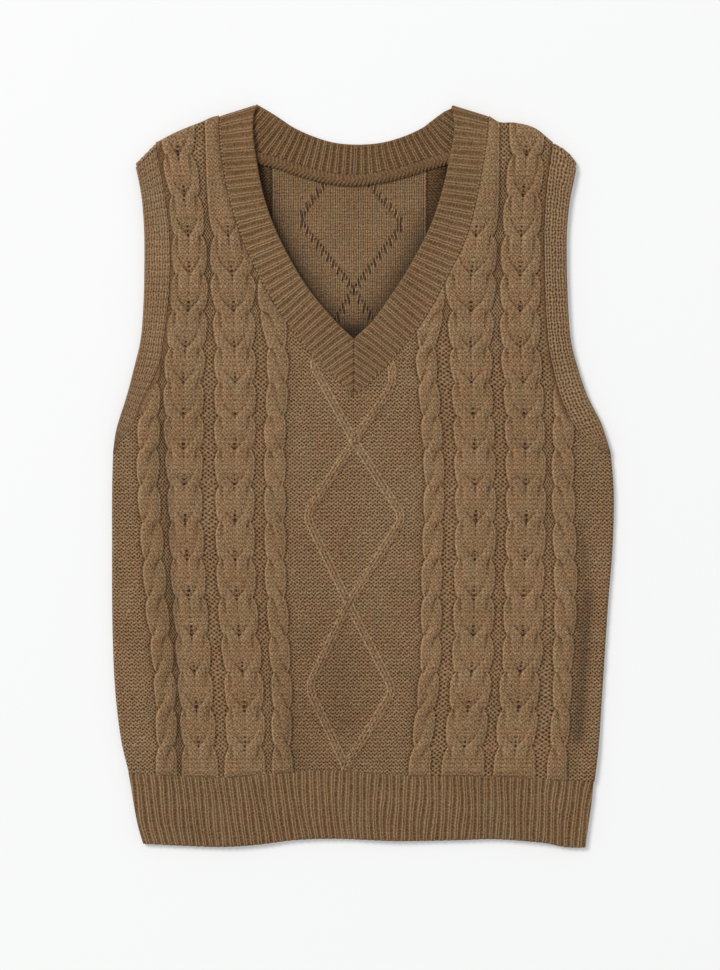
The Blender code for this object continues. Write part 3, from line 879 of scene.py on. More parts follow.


# The body's outside: purl ground, knit on cables and ridges, painted shade and painted
# highlight on the lines where a strand goes over another, and the holes up the middle of a braid.
def makeBodyKnit():
    made, tree = startMaterial("bodyKnit")
    groundUV = uvOf(tree, "groundUV")
    strandUV = uvOf(tree, "strandUV")
    rows = blend(attributeOf(tree, "narrow"), 0.3, 0.12)
    ground, groundHeight = useGroup(tree, purlFace, UV=groundUV, Rows=rows)
    look = {"Lean": 0.5, "Gutter": 0.0, "Legs": 0.03, "Rows": 0.15, "Specks": 0.24}
    strand, strandHeight = useGroup(tree, knitFace, UV=strandUV, **look)
    edge = attributeOf(tree, "edge")
    ridge = attributeOf(tree, "ridge").step(-0.2, 0.6)
    knit = edge.step(-0.4, 0.5)
    cords = strandUV.split()[0].cosine()
    ridgeTone = cords * (0.15 - strandUV.noise(1.6) * 0.5)
    tone = blend(knit, ground, strand + 0.05 + ridge * ridgeTone)
    # Painted highlight just inside a cable's edge, painted shade just outside it, and broad painted
    # shade in the ground beside it.
    tone = tone + edge.bell(0.9, 0.6) * 0.22 - edge.bell(-0.8, 0.8) * 0.2
    tone = tone - edge.bell(-1.5, 3.5) * 0.05
    toInner, toOuter, near = attributeOf(tree, "lines", "Vector").split()
    within = near * edge.step(0.1, 1.6) * (1.0 - ridge)
    # Painted shade on the covered side of the lines where a strand crosses over, and painted
    # highlight on the crossing strand's side.
    dark = (toInner.bell(-0.5, 1.15) + toOuter.bell(0.5, 1.15)) * within
    bright = (toInner.bell(1.6, 0.9) + toOuter.bell(-1.6, 0.9)) * within
    tone = tone - dark * 0.24 + bright * 0.12
    across, phase, braid = attributeOf(tree, "cable", "Vector").split()
    uneven = groundUV.noise(0.9) - 0.5
    across = across + uneven * 3.0
    phase = phase + uneven * 0.35
    dots = abs(across).step(1.2, 0.4) * phase.step(-0.1, -0.02) * phase.step(0.36, 0.24)
    dots = dots * groundUV.split()[1].cosine().step(-0.6, 0.6) * braid * knit
    # Painted shade: beside the armhole seams the tone is drawn towards a flat dark one.
    tone = blend(attributeOf(tree, "beside") * 0.8, tone - dots * 0.55, 0.34)
    # Painted shade over a broad hollow low in the middle of the body.
    tone = tone - attributeOf(tree, "dull") * 0.06
    height = blend(knit, groundHeight, strandHeight * 0.5 - cords * ridge * 0.2)
    # Painted shade in the creases' valleys.
    shade = attributeOf(tree, "valley") * 0.36
    finishMaterial(tree, tone, height - dots - dark * 0.5, shade)
    return made


# The body's inside: the same stitches seen from behind, so the ground is knit and the cables
# are purl. Each diamond's line is a ladder of steep gaps that lean against it, with a small
# hole between each two of them. Near the neckband's free edges it is darkened by painted shade.
def makeBodyInside():
    made, tree = startMaterial("bodyInside")
    look = {"Lean": 0.5, "Gutter": 0.25, "Legs": 0.36, "Rows": 0.16, "Specks": 0.06}
    ground, groundHeight = useGroup(tree, knitFace, UV=uvOf(tree, "groundUV"), **look)
    strand, strandHeight = useGroup(tree, purlFace, UV=uvOf(tree, "strandUV"), Rows=0.4)
    edge = attributeOf(tree, "edge")
    plain = 1.0 - attributeOf(tree, "ridge").step(-0.5, 0.3)
    inside = edge.step(-0.6, 0.4) * plain
    tone = blend(inside, ground, strand * 0.5 + 0.18)
    height = blend(inside, groundHeight, strandHeight)
    *sides, x = attributeOf(tree, "sides", "Vector").split()
    for side, inward in zip(sides, (-1.4, 1.4)):
        near = abs(side).step(3.9, 2.1)
        turn = (x * 0.2305 - side * 0.0755).cosine()
        gaps = turn.step(0.25, 0.8) * near + turn.step(-0.3, -0.8) * side.bell(inward, 1.3)
        tone = tone - gaps * 0.36 + turn.bell(-0.05, 0.3) * near * 0.3
        height = height - gaps
    # Painted highlight on the raised border just outside each cable, and painted shade just inside
    # it.
    fold = edge.bell(-0.6, 0.7) - edge.bell(1.2, 1.1)
    # Painted shade: darker near the neckband's free edges, most where both meet at the V.
    shade = (attributeOf(tree, "deep") * 0.58).calc("MINIMUM", 0.82)
    finishMaterial(tree, tone + fold * plain * 0.17 - 0.09, height, shade)
    return made


# Ribs, with a smooth rim and, where edgeUV starts, a chain of loops along the seam.
def makeRibKnit(name, spread, lines, groove, depth, dashes=0.0, chain=False):
    made, tree = startMaterial(name)
    look = {"Spread": spread, "Lines": lines, "Groove": groove, "Depth": depth, "Dashes": dashes}
    tone, height = useGroup(tree, ribFace, UV=uvOf(tree, "ribUV"), **look)
    rim = attributeOf(tree, "rim")
    # Painted shade where the band lies low, at the back.
    tone = tone - attributeOf(tree, "low") * 0.07
    tone = blend(rim, tone, tone * 0.3 + 0.28)
    height = blend(rim, height, height * 0.3)
    if chain:
        along, across, _ = uvOf(tree, "edgeUV").split()
        loops = along.cosine() * 0.24 + 0.5
        seam = across.step(2.6, 1.6)
        tone = blend(seam, tone, loops) - across.bell(0.2, 0.6) * 0.18
        height = blend(seam, height, loops)
    finishMaterial(tree, tone, height)
    return made


# The armbands: knit columns that fade towards the smooth outer edge. Dark lines, cos(4 pi u),
# run up each column's middle and between columns, broken into a dot for each stitch.
def makeArmKnit(name, looks):
    made, tree = startMaterial(name)
    uv = uvOf(tree, "ribUV")
    u, v, _ = uv.split()
    wobble = uv.noise(0.55) - 0.5
    own = u + wobble * 0.6
    leaned = v + wobble * 1.2 - abs(own.calc("FRACT") - 0.5) * 0.7
    line = own.cosine(2)
    row = leaned.cosine()
    stitch = leaned.cosine(1, 2.4).step(-0.5, 0.6) * 0.7 + 0.3
    dots = line.step(0.0, 0.9) * stitch
    tone = 0.627 + row * looks["rows"] - line * looks["lines"] - dots * looks["dots"]
    # The last term is painted shade along the armband's seam.
    tone = tone + v.cosine(0.5) * looks["pair"] - u.bell(0.0, 0.22) * 0.22
    smoothed = tone * 0.25 + 0.41
    outer = u.step(looks["columns"] * 0.62, looks["columns"] * 0.95)
    tone = blend(attributeOf(tree, "rim"), tone, smoothed)
    tone = blend(outer * 0.6, tone, smoothed)
    finishMaterial(tree, tone, 0.5 + row * 0.2 - line * 0.25 - dots * 0.4)
    return made


armLooks = {
    "Left": {"columns": 5, "lines": 0.05, "rows": 0.04, "pair": 0.065, "dots": 0.24, "bow": 0},
    "Right": {"columns": 4, "lines": 0.08, "rows": 0.1, "pair": 0.03, "dots": 0.36, "bow": 2.6},
}
bodyKnit = makeBodyKnit()
bodyInside = makeBodyInside()
hemKnit = makeRibKnit("hemKnit", 0.19, 0.43, 0.12, 0.11)
neckKnit = makeRibKnit("neckKnit", 0.16, 0.42, 0.15, 0.05, 0.04, chain=True)
linkKnit = makeRibKnit("linkKnit", 0.23, 0.25, 0.2, 0.15)
armKnits = [makeArmKnit(f"armKnit{name}", looks) for name, looks in armLooks.items()]
print("materials made")


# ---- objects


def addObject(name, data):
    made = bpy.data.objects.new(name, data)
    bpy.context.scene.collection.objects.link(made)
    return made


# A mesh of triangles from points in mm, with UVs for each corner and attributes for each point.
def addPiece(name, points, faces, materials, kind=None, uvs=None, attributes=None):
    mesh = bpy.data.meshes.new(name)
    faces = np.ascontiguousarray(faces, np.int32)
    mesh.vertices.add(len(points))
    mesh.vertices.foreach_set("co", ((points - originShift) * mm).astype(np.float32).ravel())
    mesh.loops.add(faces.size)
    mesh.loops.foreach_set("vertex_index", faces.ravel())
    mesh.polygons.add(len(faces))
    mesh.polygons.foreach_set("loop_start", np.arange(0, faces.size, 3, dtype=np.int32))
    for material in materials:
        mesh.materials.append(material)
    if kind is not None:
        mesh.polygons.foreach_set("material_index", kind.astype(np.int32))
    mesh.update(calc_edges=True)
    mesh.validate()
    for label, values in (uvs or {}).items():
        layer = mesh.uv_layers.new(name=label)
        layer.uv.foreach_set("vector", values.astype(np.float32).ravel())
    for label, values in (attributes or {}).items():
        kind, field = ("FLOAT_VECTOR", "vector") if values.ndim == 2 else ("FLOAT", "value")
        layer = mesh.attributes.new(label, kind, "POINT")
        layer.data.foreach_set(field, values.astype(np.float32).ravel())
    mesh.shade_smooth()
    print(name, len(faces), "triangles, up to", points[:, 2].max().round(3), "mm")
    return addObject(name, mesh)


# The flat area of a grid in square metres, and its width and length.
def flatSize(grid):
    a, b, c = (grid.xy[grid.triangles[:, i]] for i in range(3))
    area = np.abs(np.cross(b - a, c - a)).sum() / 2
    size = np.ptp(grid.xy, axis=0)
    return (size[0] * mm, size[1] * mm), area * mm * mm


# UVs and attributes of a body panel: chosen for each face by what lies under its centre. The
# faces that show its inside have shorter courses, and narrow gaps have longer ones. On the
# inside a cable's edges are straight and 4 mm further from the centre front.
def bodyMaps(points, faces, onInside):
    x, y = points[:, 0], points[:, 1]
    pattern = bodyPattern(x, y)
    ridgeEdge = ridgePattern(x, y)[2]
    inside = np.zeros(len(x), bool)
    inside[faces[onInside].ravel()] = True
    inside[faces[~onInside].ravel()] = False
    straight = cableCentres(y)[1][pattern["cable"], np.arange(len(x))]
    straight = straight - np.abs(pattern["across"] - 4 * np.sign(x))
    pattern["edge"] = np.where(inside, straight, pattern["edge"])
    centre = points[faces].mean(1)
    atCentre = bodyPattern(centre[:, 0], centre[:, 1])
    cornerX = x[faces].ravel()
    cornerY = y[faces].ravel()
    cable = np.repeat(atCentre["cable"], 3)
    gap = cable + np.repeat(atCentre["across"] > 0, 3)
    wide = (gap == 0) | (gap == 4) | (gap == cableCount)
    inner = np.repeat(onInside, 3)
    course = np.where(wide, courseHeight, bodySettings["gapCourse"])
    course = np.where(inner, bodySettings["insideCourse"], course)
    wales = groundWales(cornerX, cornerY, gap)
    wales = np.where(inner & (gap == 4), cornerX / bodySettings["insideWale"], wales)
    ground = np.stack([wales, cornerY / course], 1)
    corner = bodyPattern(cornerX, cornerY, np.repeat(atCentre["crossing"], 3), cable)
    inZone = np.repeat(atCentre["zone"], 3)
    toEdge = np.choose(inZone, [corner["toInner"], corner["toInner"], corner["toOuter"]])
    onRidge = np.repeat(ridgePattern(centre[:, 0], centre[:, 1])[2] > 0, 3)
    cords = 1.5 * ridgePattern(cornerX, cornerY)[0] / bodySettings["ridgeHalf"] + 0.5
    strandCourse = np.where(inner, bodySettings["insideCourse"], bodySettings["strandCourse"])
    wales = np.where(onRidge, cords, toEdge / bodySettings["strandWale"])
    strand = np.stack([wales, cornerY / strandCourse], 1)
    toOpening = [nearest(points[:, :2], [side["neckFree"]])[0] for side in bothSides]
    armSeams = [side["armSeam"] for side in bothSides]
    toArm = nearest(points[:, :2], [seam[seam[:, 1] > 360] for seam in armSeams])[0]
    attributes = {
        "edge": np.maximum(pattern["edge"], ridgeEdge),
        "ridge": ridgeEdge,
        "cable": np.stack([pattern["across"], pattern["phase"], pattern["dots"]], 1),
        "lines": np.stack([pattern["toInner"], pattern["toOuter"], pattern["near"]], 1),
        # deep is painted shade for the inside, strongest near the neckband's free edges.
        "deep": sum(np.exp(-((away / 11) ** 2)) for away in toOpening),
        "sides": np.stack([*ridgeAway(x, y), x], 1),
        # beside: where the material paints shade along the armhole seams.
        "beside": np.exp(-((toArm / 2.6) ** 2)),
        # dull: painted shade on a broad patch low in the middle, where the cloth lies in a hollow.
        "dull": np.exp(-(((x + 24) / 50) ** 2) - ((y - 120) / 90) ** 2),
        # valley: painted shade, as deep as the creases' valleys go.
        "valley": np.clip(-bells(points[:, :2], creaseTable) / 1.5, 0, 1.3),
        "narrow": (np.abs(x) < 175) * smooth((np.abs(x) - 45) / 8),
    }
    return {"groundUV": ground, "strandUV": strand}, attributes


# The body's relief above the solid's face, in mm, level with the ribs at the seams.
def bodyRelief(points):
    x, y = points[:, 0], points[:, 1]
    relief = np.maximum(bodyPattern(x, y)["height"], ridgePattern(x, y)[1])
    relief = bodySettings["ground"] + relief + waves(x, y) + bells(points, creaseTable)
    seams = [side[name] for side in bothSides for name in ("armSeam", "neckSeam")]
    toSeam = nearest(points, seams)[0]
    toHem = np.abs(y - hemSeam(x))
    calm = smooth(np.minimum(toSeam / 3.0, toHem / 3.2))
    return seamLevel + calm * (relief - seamLevel)


def makeFrontPanel():
    fine = frontGrid(bodySettings["columnStep"], bodySettings["rowStep"])
    coarse = frontGrid(bodySettings["hiddenStep"], bodySettings["hiddenStep"])
    relief = bodyRelief(fine.xy) * (0.15 + 0.85 * fromLines(fine.xy, foldedEdges, 9))
    high = frontLevel(fine.xy) + wall - edgeDrop(fine.xy) + relief
    points, faces, kind = closeShell(fine, high, coarse, frontLevel(coarse.xy))
    uvs, attributes = bodyMaps(points, faces, kind == 1)
    made = addPiece("frontPanel", points, faces, [bodyKnit, bodyInside], kind == 1, uvs, attributes)
    return made, flatSize(fine)


# The level of an outer face that lies on the surface and rises by that relief.
def undersideLevel(points, relief):
    return np.clip(edgeDrop(points) + relief + lowest, lowest, wall - 0.6)


backSettings = {"hollow": 1.4}  # how far its inside sinks where the V shows it


def makeBackPanel():
    step = bodySettings["hiddenStep"]
    outer = backGrid(bodySettings["backColumnStep"], bodySettings["backRowStep"])
    inner = backGrid(step, step)
    relief = bodyRelief(outer.xy)
    greatest = bodySettings["ground"] + bodySettings["rise"] + bodySettings["lift"]
    folded = fromLines(outer.xy, foldedEdges, 9)
    low = undersideLevel(outer.xy, folded * 0.42 * (greatest - relief))
    x, y = inner.xy.T
    openX, openY = rightSide["neckFree"].T
    inV = (np.abs(x) < np.interp(y, openY, openX)) & (y > openY[0])
    deep = fromLines(inner.xy, [side["neckFree"] for side in bothSides], 6) * inV
    high = wall - backSettings["hollow"] * deep * smooth((backNeck - y) / 20)
    points, faces, kind = closeShell(inner, high, outer, low)
    uvs, attributes = bodyMaps(points, faces, kind == 0)
    made = addPiece("backPanel", points, faces, [bodyKnit, bodyInside], kind == 0, uvs, attributes)
    return made, flatSize(outer)


hemSettings = {
    "ribs": 64,
    "groove": 0.6,
    "ridge": 0.2,
    "columnStep": 0.8,
    "rowStep": 2.2,
    "course": 2.9,
    "rim": 1.6,
}


# Ribs counted along the hem: shares of its width, with a slow sideways wave down its height.
def hemRibs(x, y):
    low = edgeX(leftSide, y)
    high = edgeX(rightSide, y)
    share = (x - low) / (high - low)
    sway = 0.22 * np.sin(y / 17 + x / 31) + 0.2 * np.sin(x / 19) + 0.07 * np.sin(x / 4.7 + y / 9)
    return hemSettings["ribs"] * share + sway


# A rib's section: 0 in its groove and 1 on its knit column, the power 0.7 of a raised cosine.
def ribSection(turns):
    return (0.5 + 0.5 * np.cos(2 * np.pi * turns)) ** 0.7


def makeHem(name, inFront):
    fine = hemGrid(hemSettings["columnStep"], hemSettings["rowStep"])
    coarse = hemGrid(6, 8)
    ribs = hemRibs(*fine.xy.T)
    column = ribSection(ribs)
    toEdge = fine.xy[:, 1] - hemEdge(fine.xy[:, 0])
    bottom = toEdge < 0.01
    fine.xy[bottom, 1] += 0.5 * (1 - column[bottom])  # grooves end a little higher than ribs
    toSeam = hemSeam(fine.xy[:, 0]) - fine.xy[:, 1]
    folded = fromLines(fine.xy, foldedEdges, 6)
    relief = hemSettings["ridge"] - (hemSettings["groove"] + hemSettings["ridge"]) * (1 - column)
    relief = seamLevel + smooth(toSeam / 3) * (relief - seamLevel)
    if inFront:
        high = frontLevel(fine.xy) + wall - edgeDrop(fine.xy) + relief * (0.2 + 0.8 * folded)
        points, faces, _ = closeShell(fine, high, coarse, frontLevel(coarse.xy))
    else:
        low = undersideLevel(fine.xy, (hemSettings["ridge"] - relief) * folded * 0.9)
        points, faces, _ = closeShell(coarse, np.full(len(coarse.xy), wall), fine, low)
    x, y, _ = points[faces.ravel()].T
    uv = np.stack([hemRibs(x, y), y / hemSettings["course"]], 1)
    rim = smooth(1 - (points[:, 1] - hemEdge(points[:, 0])) / hemSettings["rim"])
    made = addPiece(name, points, faces, [hemKnit], None, {"ribUV": uv}, {"rim": 0.6 * rim})
    return made, flatSize(fine)


# ---- bands: strips that run up the front, over the shoulder and down or round the back


# Sections of a band at set heights of its seam. The last is its fold line, which lies inside
# the silhouette by the fold's outer radius.
def bandSections(seam, free, count):
    radius = wall + layerGap / 2
    across = unit(free[-1] - seam[-1])
    outward = np.array([-across[1], across[0]])
    if outward @ (seam[-1] - np.array([0.0, 450.0])) < 0:
        outward = -outward
    fold = [line[-1] - outward * radius for line in (seam, free)]
    step = np.arange(len(seam))
    at = np.linspace(0, np.interp(fold[0][1], seam[:, 1], step), count)[:-1]
    lines = [readOff(line, step, at) for line in (seam, free)]
    return np.vstack([lines[0], fold[0]]), np.vstack([lines[1], fold[1]]), outward


# A run of a band that lies flat, in front or behind: its seam, free edge and normals.
def flatRun(seam, free, inFront):
    points = []
    for line in (seam, free):
        height = frontLevel(line) if inFront else np.full(len(line), wall)
        points.append(np.column_stack([line, height]))
    return *points, np.tile([0.0, 0.0, 1.0 if inFront else -1.0], (len(seam), 1))


# The run round a fold: half a circle across the gap between the layers.
def foldedRun(seam, free, outward):
    angles = np.linspace(0, np.pi, 13)[1:-1]
    way = np.column_stack([np.outer(np.sin(angles), outward), np.cos(angles)])
    level = wall + layerGap / 2
    return *(np.append(point, level) + way * layerGap / 2 for point in (seam, free)), way


def reverse(runs):
    return [tuple(part[::-1] for part in run) for run in runs[::-1]]


# The runs joined and set out again at even steps along the middle of their right side.
def evenStrip(runs, step):
    seam, free, normal = (np.vstack([run[i] for run in runs]) for i in range(3))
    middle = (seam + free) / 2 + normal * wall
    length = lengths(middle)
    at = np.linspace(0, length[-1], round(length[-1] / step) + 1)
    seam, free, normal = (readOff(part, length, at) for part in (seam, free, normal))
    return seam, free, unit(normal), at


# Triangles of a tube from rows of points that go round it.
def tubeFaces(index):
    turned = np.roll(index, -1, axis=1)
    quads = np.stack([index[:-1], turned[:-1], turned[1:], index[1:]], 2).reshape(-1, 4)
    return np.vstack([quads[:, [0, 1, 2]], quads[:, [0, 2, 3]]])


# A closed strip. rightRelief and wrongRelief take the place along and across each point and
# its own point, and give mm above and below the two faces. The free edge is half a round, and
# each row bulges by its bow times a parabola.
def foldedStrip(strip, rightCount, wrongCount, rightRelief, wrongRelief, bow=np.zeros((1, 3))):
    seam, free, normal, at = strip
    width = np.linalg.norm(free - seam, axis=1)
    inset = 1 - np.minimum(1.5 / width, 0.3)
    turn = np.linspace(0, np.pi, 6)[1:-1]
    share, bulge, level = np.hstack([
        [np.linspace(0, 1, rightCount), np.zeros(rightCount), np.ones(rightCount)],
        [np.ones(4), np.sin(turn), 0.5 + 0.5 * np.cos(turn)],
        [np.linspace(1, 0, wrongCount), np.zeros(wrongCount), np.zeros(wrongCount)],
    ])
    across = share * inset[:, None] + bulge * (1 - inset[:, None])
    flat = seam[:, None] + (free - seam)[:, None] * across[:, :, None]
    flat = flat + bow[:, None] * (4 * across * (1 - across))[:, :, None]
    along = np.repeat(at[:, None], len(share), 1)
    fade = smooth((1 - across) * width[:, None] / 2.4)
    right = wall + rightRelief(along, across, flat) * fade
    wrong = wrongRelief(along, across, flat) * fade
    height = level * right + (1 - level) * wrong
    points = flat + normal[:, None] * height[:, :, None]
    index = np.arange(height.size).reshape(height.shape)
    faces = tubeFaces(index)
    half = rightCount + 2
    for row, flip in ((index[0], False), (index[-1], True)):
        top, bottom = row[:half], row[half:][::-1]
        cap = zipStrip(top, bottom, np.linspace(0, 1, len(top)), np.linspace(0, 1, len(bottom)))
        faces = np.vstack([faces, cap if flip else cap[:, ::-1]])
    wrongSide = np.broadcast_to(1 - level, height.shape).ravel()
    rim = (1 - fade).ravel()
    facts = {"along": along.ravel(), "across": (across * width[:, None]).ravel(), "wrong": wrongSide}
    return points.reshape(-1, 3), faces, facts, rim, flat.reshape(-1, 3)


# The triangles, turned round where their shell's volume comes out below nothing.
def checkOutward(points, faces):
    a, b, c = (points[faces[:, i]] for i in range(3))
    volume = (a * np.cross(b, c)).sum() / 6
    return faces if volume > 0 else faces[:, ::-1]


# A band's right face: rib columns with grooves between them, and a dip along its seam. On the
# back of the vest the ridges don't stand up.
def ribbedFace(settings, column, across, flat):
    onTop = smooth((flat[..., 2] - wall) / layerGap)
    reach = settings["groove"] + settings["ridge"]
    dip = settings["dip"] * np.exp(-((across * settings["dipReach"]) ** 2))
    return settings["ridge"] * onTop - reach * (1 - column) - dip


# A strip's greatest width and its length in metres, and its area in square metres.
def stripSize(strip):
    width = np.linalg.norm(strip[1] - strip[0], axis=1)
    return (width.max() * mm, strip[3][-1] * mm), width.mean() * strip[3][-1] * mm * mm


neckSettings = {
    "curl": 3.2,  # how far the front band's free edge stands up
    "width": 28,
    "wale": 2.6,
    "pitch": [(0, 5.9), (60, 6.5), (140, 7.1), (235, 8), (265, 6), (390, 6.2)],
    "lean": (0.12, 0.33),  # of the back band's ribs, left and right
    "groove": 0.38,
    "ridge": 0.12,
    "dip": 0.5,
    "dipReach": 34 / 1.3,
    "mitre": 0.7,
    "step": 0.95,
    "acrossCount": 25,
    "slant": (0.57, 0.82),  # way along the band at the V, so its ribs stand across it
}


# Ribs counted from the V along each half of the neckband. Near the V the place along is
# measured straight up the band, so that the ribs meet at the mitre, and the back band's ribs
# lean out a little more with each millimetre from its free edge.
def neckRibs(along, across, flat, total):
    sign = np.where(along < total / 2, -1.0, 1.0)
    own = np.minimum(along, total - along)
    lean = np.where(sign < 0, *neckSettings["lean"])
    lean = lean * smooth((total / 2 - own) / 45) * smooth((own - 255) / 25)
    own = own - lean * (across - neckSettings["width"] / 2)
    slantX, slantY = neckSettings["slant"]
    straight = sign * flat[..., 0] * slantX + (flat[..., 1] - 399.9) * slantY
    share = smooth(1 - (own - 10) / 75)
    place = own + share * (straight - own)
    knots, pitches = np.array(neckSettings["pitch"], float).T
    fine = np.linspace(-40, 430, 471)
    turns = np.cumsum(1 / np.interp(fine, knots, pitches))
    return np.interp(place, fine, turns - np.interp(0, fine, turns)) * sign


def makeNeckband():
    arms = []
    for side in bothSides:
        seam, free, outward = bandSections(side["neckSeam"], side["neckFree"], 120)
        over = [flatRun(seam, free, True), foldedRun(seam[-1], free[-1], outward)]
        arms.append(over + [flatRun(seam[-1:], free[-1:], False)])
        arms[-1][0][1][:, 2] += neckSettings["curl"] * smooth((606 - free[:, 1]) / 50)
    band = curve(backNeckTable)
    middle = flatRun(band[:, :2], band[:, 2:], False)
    strip = evenStrip(arms[0] + [middle] + reverse(arms[1]), neckSettings["step"])
    total = strip[3][-1]

    def right(along, across, flat):
        column = ribSection(neckRibs(along, across * neckSettings["width"], flat, total))
        x, y, z = np.moveaxis(flat, -1, 0)
        mitre = neckSettings["mitre"] * np.exp(-((x / 1.1) ** 2)) * (z > 3.2) * (y < 430)
        return ribbedFace(neckSettings, column, across, flat) - mitre

    def wrong(along, across, flat):
        turns = neckRibs(along, across * neckSettings["width"], flat, total)
        return 0.9 * (1 - ribSection(turns + 0.5))

    count = neckSettings["acrossCount"]
    points, faces, facts, rim, flat = foldedStrip(strip, count, 15, right, wrong)
    faces = checkOutward(points, faces)
    along, across = facts["along"], facts["across"]
    wrongSide = facts["wrong"] > 0.5
    turns = neckRibs(along, across, flat, total) + 0.5 * wrongSide
    uv = np.stack([turns, across / neckSettings["wale"]], 1)
    edgeUV = np.stack([along / courseHeight, across + 9 * wrongSide], 1)  # no chain inside
    uvs = {"ribUV": uv[faces.ravel()], "edgeUV": edgeUV[faces.ravel()]}
    # low: the band's back run, which the material darkens as painted shade.
    low = 1 - smooth((flat[:, 2] - wall) / layerGap)
    calm = 0.45 * (1 - low) * smooth((flat[:, 1] - 500) / 80)
    attributes = {"rim": np.maximum(rim, calm), "low": low}
    return addPiece("neckBand", points, faces, [neckKnit], None, uvs, attributes), stripSize(strip)


armSettings = {
    "groove": 0.25,
    "ridge": 0.1,
    "dip": 0.8,
    "dipReach": 19 / 1.3,
    "step": 1.7,
    "course": 3.13,
}


def makeArmband(name, side, material, looks):
    columns = looks["columns"]
    seam, free, outward = bandSections(side["armSeam"], side["armFree"], 120)
    over = [flatRun(seam, free, True), foldedRun(seam[-1], free[-1], outward)]
    strip = evenStrip(over + reverse([flatRun(seam, free, False)]), armSettings["step"])

    def right(along, across, flat):
        return ribbedFace(armSettings, ribSection(across * columns + 0.5), across, flat)

    def wrong(along, across, flat):
        return 0.7 * (1 - ribSection(across * columns))

    fromShoulder = np.abs(strip[3] - strip[3][-1] / 2)
    bow = np.outer(looks["bow"] * smooth(1 - fromShoulder / 24), [*outward, 0])
    points, faces, facts, rim, _ = foldedStrip(strip, 31, 11, right, wrong, bow)
    faces = checkOutward(points, faces)
    width = np.interp(facts["along"], strip[3], np.linalg.norm(strip[1] - strip[0], axis=1))
    wales = columns * facts["across"] / width
    uv = np.stack([wales, facts["along"] / armSettings["course"]], 1)[faces.ravel()]
    made = addPiece(name, points, faces, [material], None, {"ribUV": uv}, {"rim": 0.7 * rim})
    return made, stripSize(strip)


# The rope-like ridge where the back neck was linked to its band, seen inside the neckline.
linkSettings = {"radius": 4.7, "rise": 2.5, "strand": 3.3, "step": 0.6}


def makeNeckLink():
    band = curve(backNeckTable)[:, :2]
    line = beside(band, 3.2)
    length = lengths(line)
    at = np.linspace(0, length[-1], round(length[-1] / linkSettings["step"]))
    line = readOff(line, length, at)
    along = unit(np.gradient(line, axis=0))
    side = np.stack([along[:, 1], -along[:, 0]], 1)
    turn = np.linspace(0, 2 * np.pi, 17)[:-1]
    fade = np.sqrt(np.clip(np.minimum(at, at[-1] - at) / 8, 0.05, 1))
    slant = at[:, None] / linkSettings["strand"] + 0.75 * np.abs(np.cos(turn)) + 0.25 * np.cos(turn)
    strands = 1 + 0.16 * np.cos(2 * np.pi * slant) * (np.sin(turn) > -0.2)
    across = linkSettings["radius"] * np.cos(turn) * strands * fade[:, None]
    height = linkSettings["rise"] * np.sin(turn) * strands * fade[:, None]
    points = line[:, None] + side[:, None] * across[:, :, None]
    points = np.concatenate([points, (wall + 0.25 + np.maximum(height, -0.2))[:, :, None]], 2)
    index = np.arange(height.size).reshape(height.shape)
    faces = tubeFaces(index)
    for row, flip in ((index[0], False), (index[-1], True)):
        fan = np.column_stack([np.full(14, row[0]), row[1:-1], row[2:]])
        faces = np.vstack([faces, fan if flip else fan[:, ::-1]])
    points = points.reshape(-1, 3)
    faces = checkOutward(points, faces)
    uv = np.stack([slant.ravel(), np.tile(turn, len(at))], 1)[faces.ravel()]
    rim = np.full(len(points), 0.45)
    return addPiece("neckLink", points, faces, [linkKnit], None, {"ribUV": uv}, {"rim": rim})


frontPanel, frontFlat = makeFrontPanel()
backPanel, backFlat = makeBackPanel()
hemFront, hemFrontFlat = makeHem("hemFront", True)
hemBack, hemBackFlat = makeHem("hemBack", False)
neckBand, neckFlat = makeNeckband()
armLeft, armLeftFlat = makeArmband("armbandLeft", leftSide, armKnits[0], armLooks["Left"])
armRight, armRightFlat = makeArmband("armbandRight", rightSide, armKnits[1], armLooks["Right"])
neckLink = makeNeckLink()
print("vest made")

# ---- floor, light and camera

studioSettings = {
    "floorHalf": 8.0,
    "paper": {
        "Base Color": (0.74, 0.74, 0.743, 1),
        "Roughness": 0.9,
        "Specular IOR Level": 0.1,
        "Emission Color": (1, 1, 1, 1),
        "Emission Strength": 0.205,  # softens the shadow beside the cloth
    },
    "keyPower": 1480,
    "keySize": 5.9,
    "keyPlace": (-7.5, 6.4, 10.7),
    "keyColour": (1.0, 0.985, 0.96),
    "sky": {"Color": (0.96, 0.98, 1.0, 1), "Strength": 0.52},
    "cameraPlace": (-0.00243, -0.00686),
    "cameraHeight": 2.4,
    "focusHeight": 0.006,  # where the frame is frameHeight high
    "frameHeight": 0.809,
}


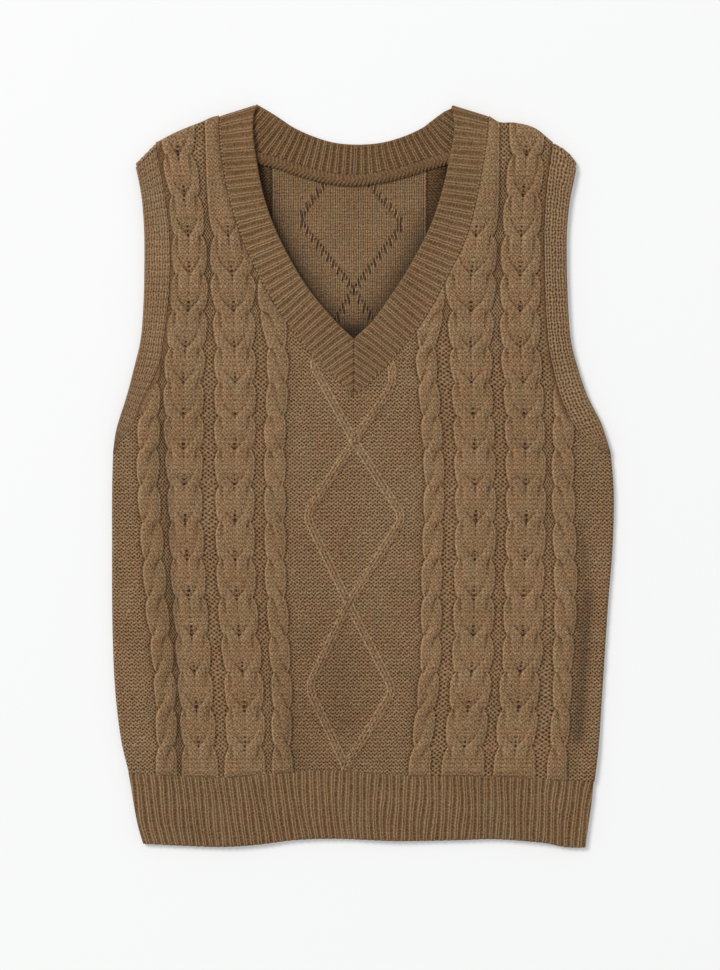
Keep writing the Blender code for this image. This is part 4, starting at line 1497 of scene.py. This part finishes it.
def makeFloor():
    mesh = bpy.data.meshes.new("floor")
    half = studioSettings["floorHalf"]
    corners = [(-half, -half, 0), (half, -half, 0), (half, half, 0), (-half, half, 0)]
    mesh.from_pydata(corners, [], [(0, 1, 2, 3)])
    material, tree = startMaterial("floorPaper")
    setInputs(tree.nodes["Principled BSDF"], studioSettings["paper"])
    mesh.materials.append(material)
    return addObject("floor", mesh)


def makeLight():
    data = bpy.data.lights.new("keyLight", "AREA")
    data.shape = "DISK"
    data.size = studioSettings["keySize"]
    data.energy = studioSettings["keyPower"]
    data.color = studioSettings["keyColour"]
    made = addObject("keyLight", data)
    made.location = x, y, z = studioSettings["keyPlace"]
    made.rotation_euler = (math.atan2(math.hypot(x, y), z), 0, math.atan2(y, x) + math.pi / 2)
    world = bpy.data.worlds.new("studio")
    world.use_nodes = True
    setInputs(world.node_tree.nodes["Background"], studioSettings["sky"])
    bpy.context.scene.world = world


def makeCamera():
    data = bpy.data.cameras.new("camera")
    data.sensor_width = 36
    data.sensor_fit = "AUTO"
    away = studioSettings["cameraHeight"] - studioSettings["focusHeight"]
    data.lens = data.sensor_width * away / studioSettings["frameHeight"]
    made = addObject("camera", data)
    made.location = (*studioSettings["cameraPlace"], studioSettings["cameraHeight"])
    bpy.context.scene.camera = made


floor = makeFloor()
makeLight()
makeCamera()
bpy.context.scene.view_settings.view_transform = "Standard"
print("studio made")

# ---- what each piece stands for

panels = [
    (frontPanel, "front_panel", frontFlat, [backPanel]),
    (backPanel, "back_panel", backFlat, [floor]),
]
ribs = [
    (hemFront, "hem_front", hemFrontFlat, [hemBack]),
    (hemBack, "hem_back", hemBackFlat, [floor]),
    (neckBand, "neckband", neckFlat, [floor, backPanel]),
    (armLeft, "armband_left", armLeftFlat, [floor]),
    (armRight, "armband_right", armRightFlat, [floor]),
]
for group, slotName in ((panels, "body_knit"), (ribs, "rib_knit")):
    for piece, node, (flat, area), under in group:
        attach(piece, "root")
        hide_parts(node)
        print(piece.name, "flat", [round(v, 4) for v in flat], "area", round(area, 5))
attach(neckLink, "root")
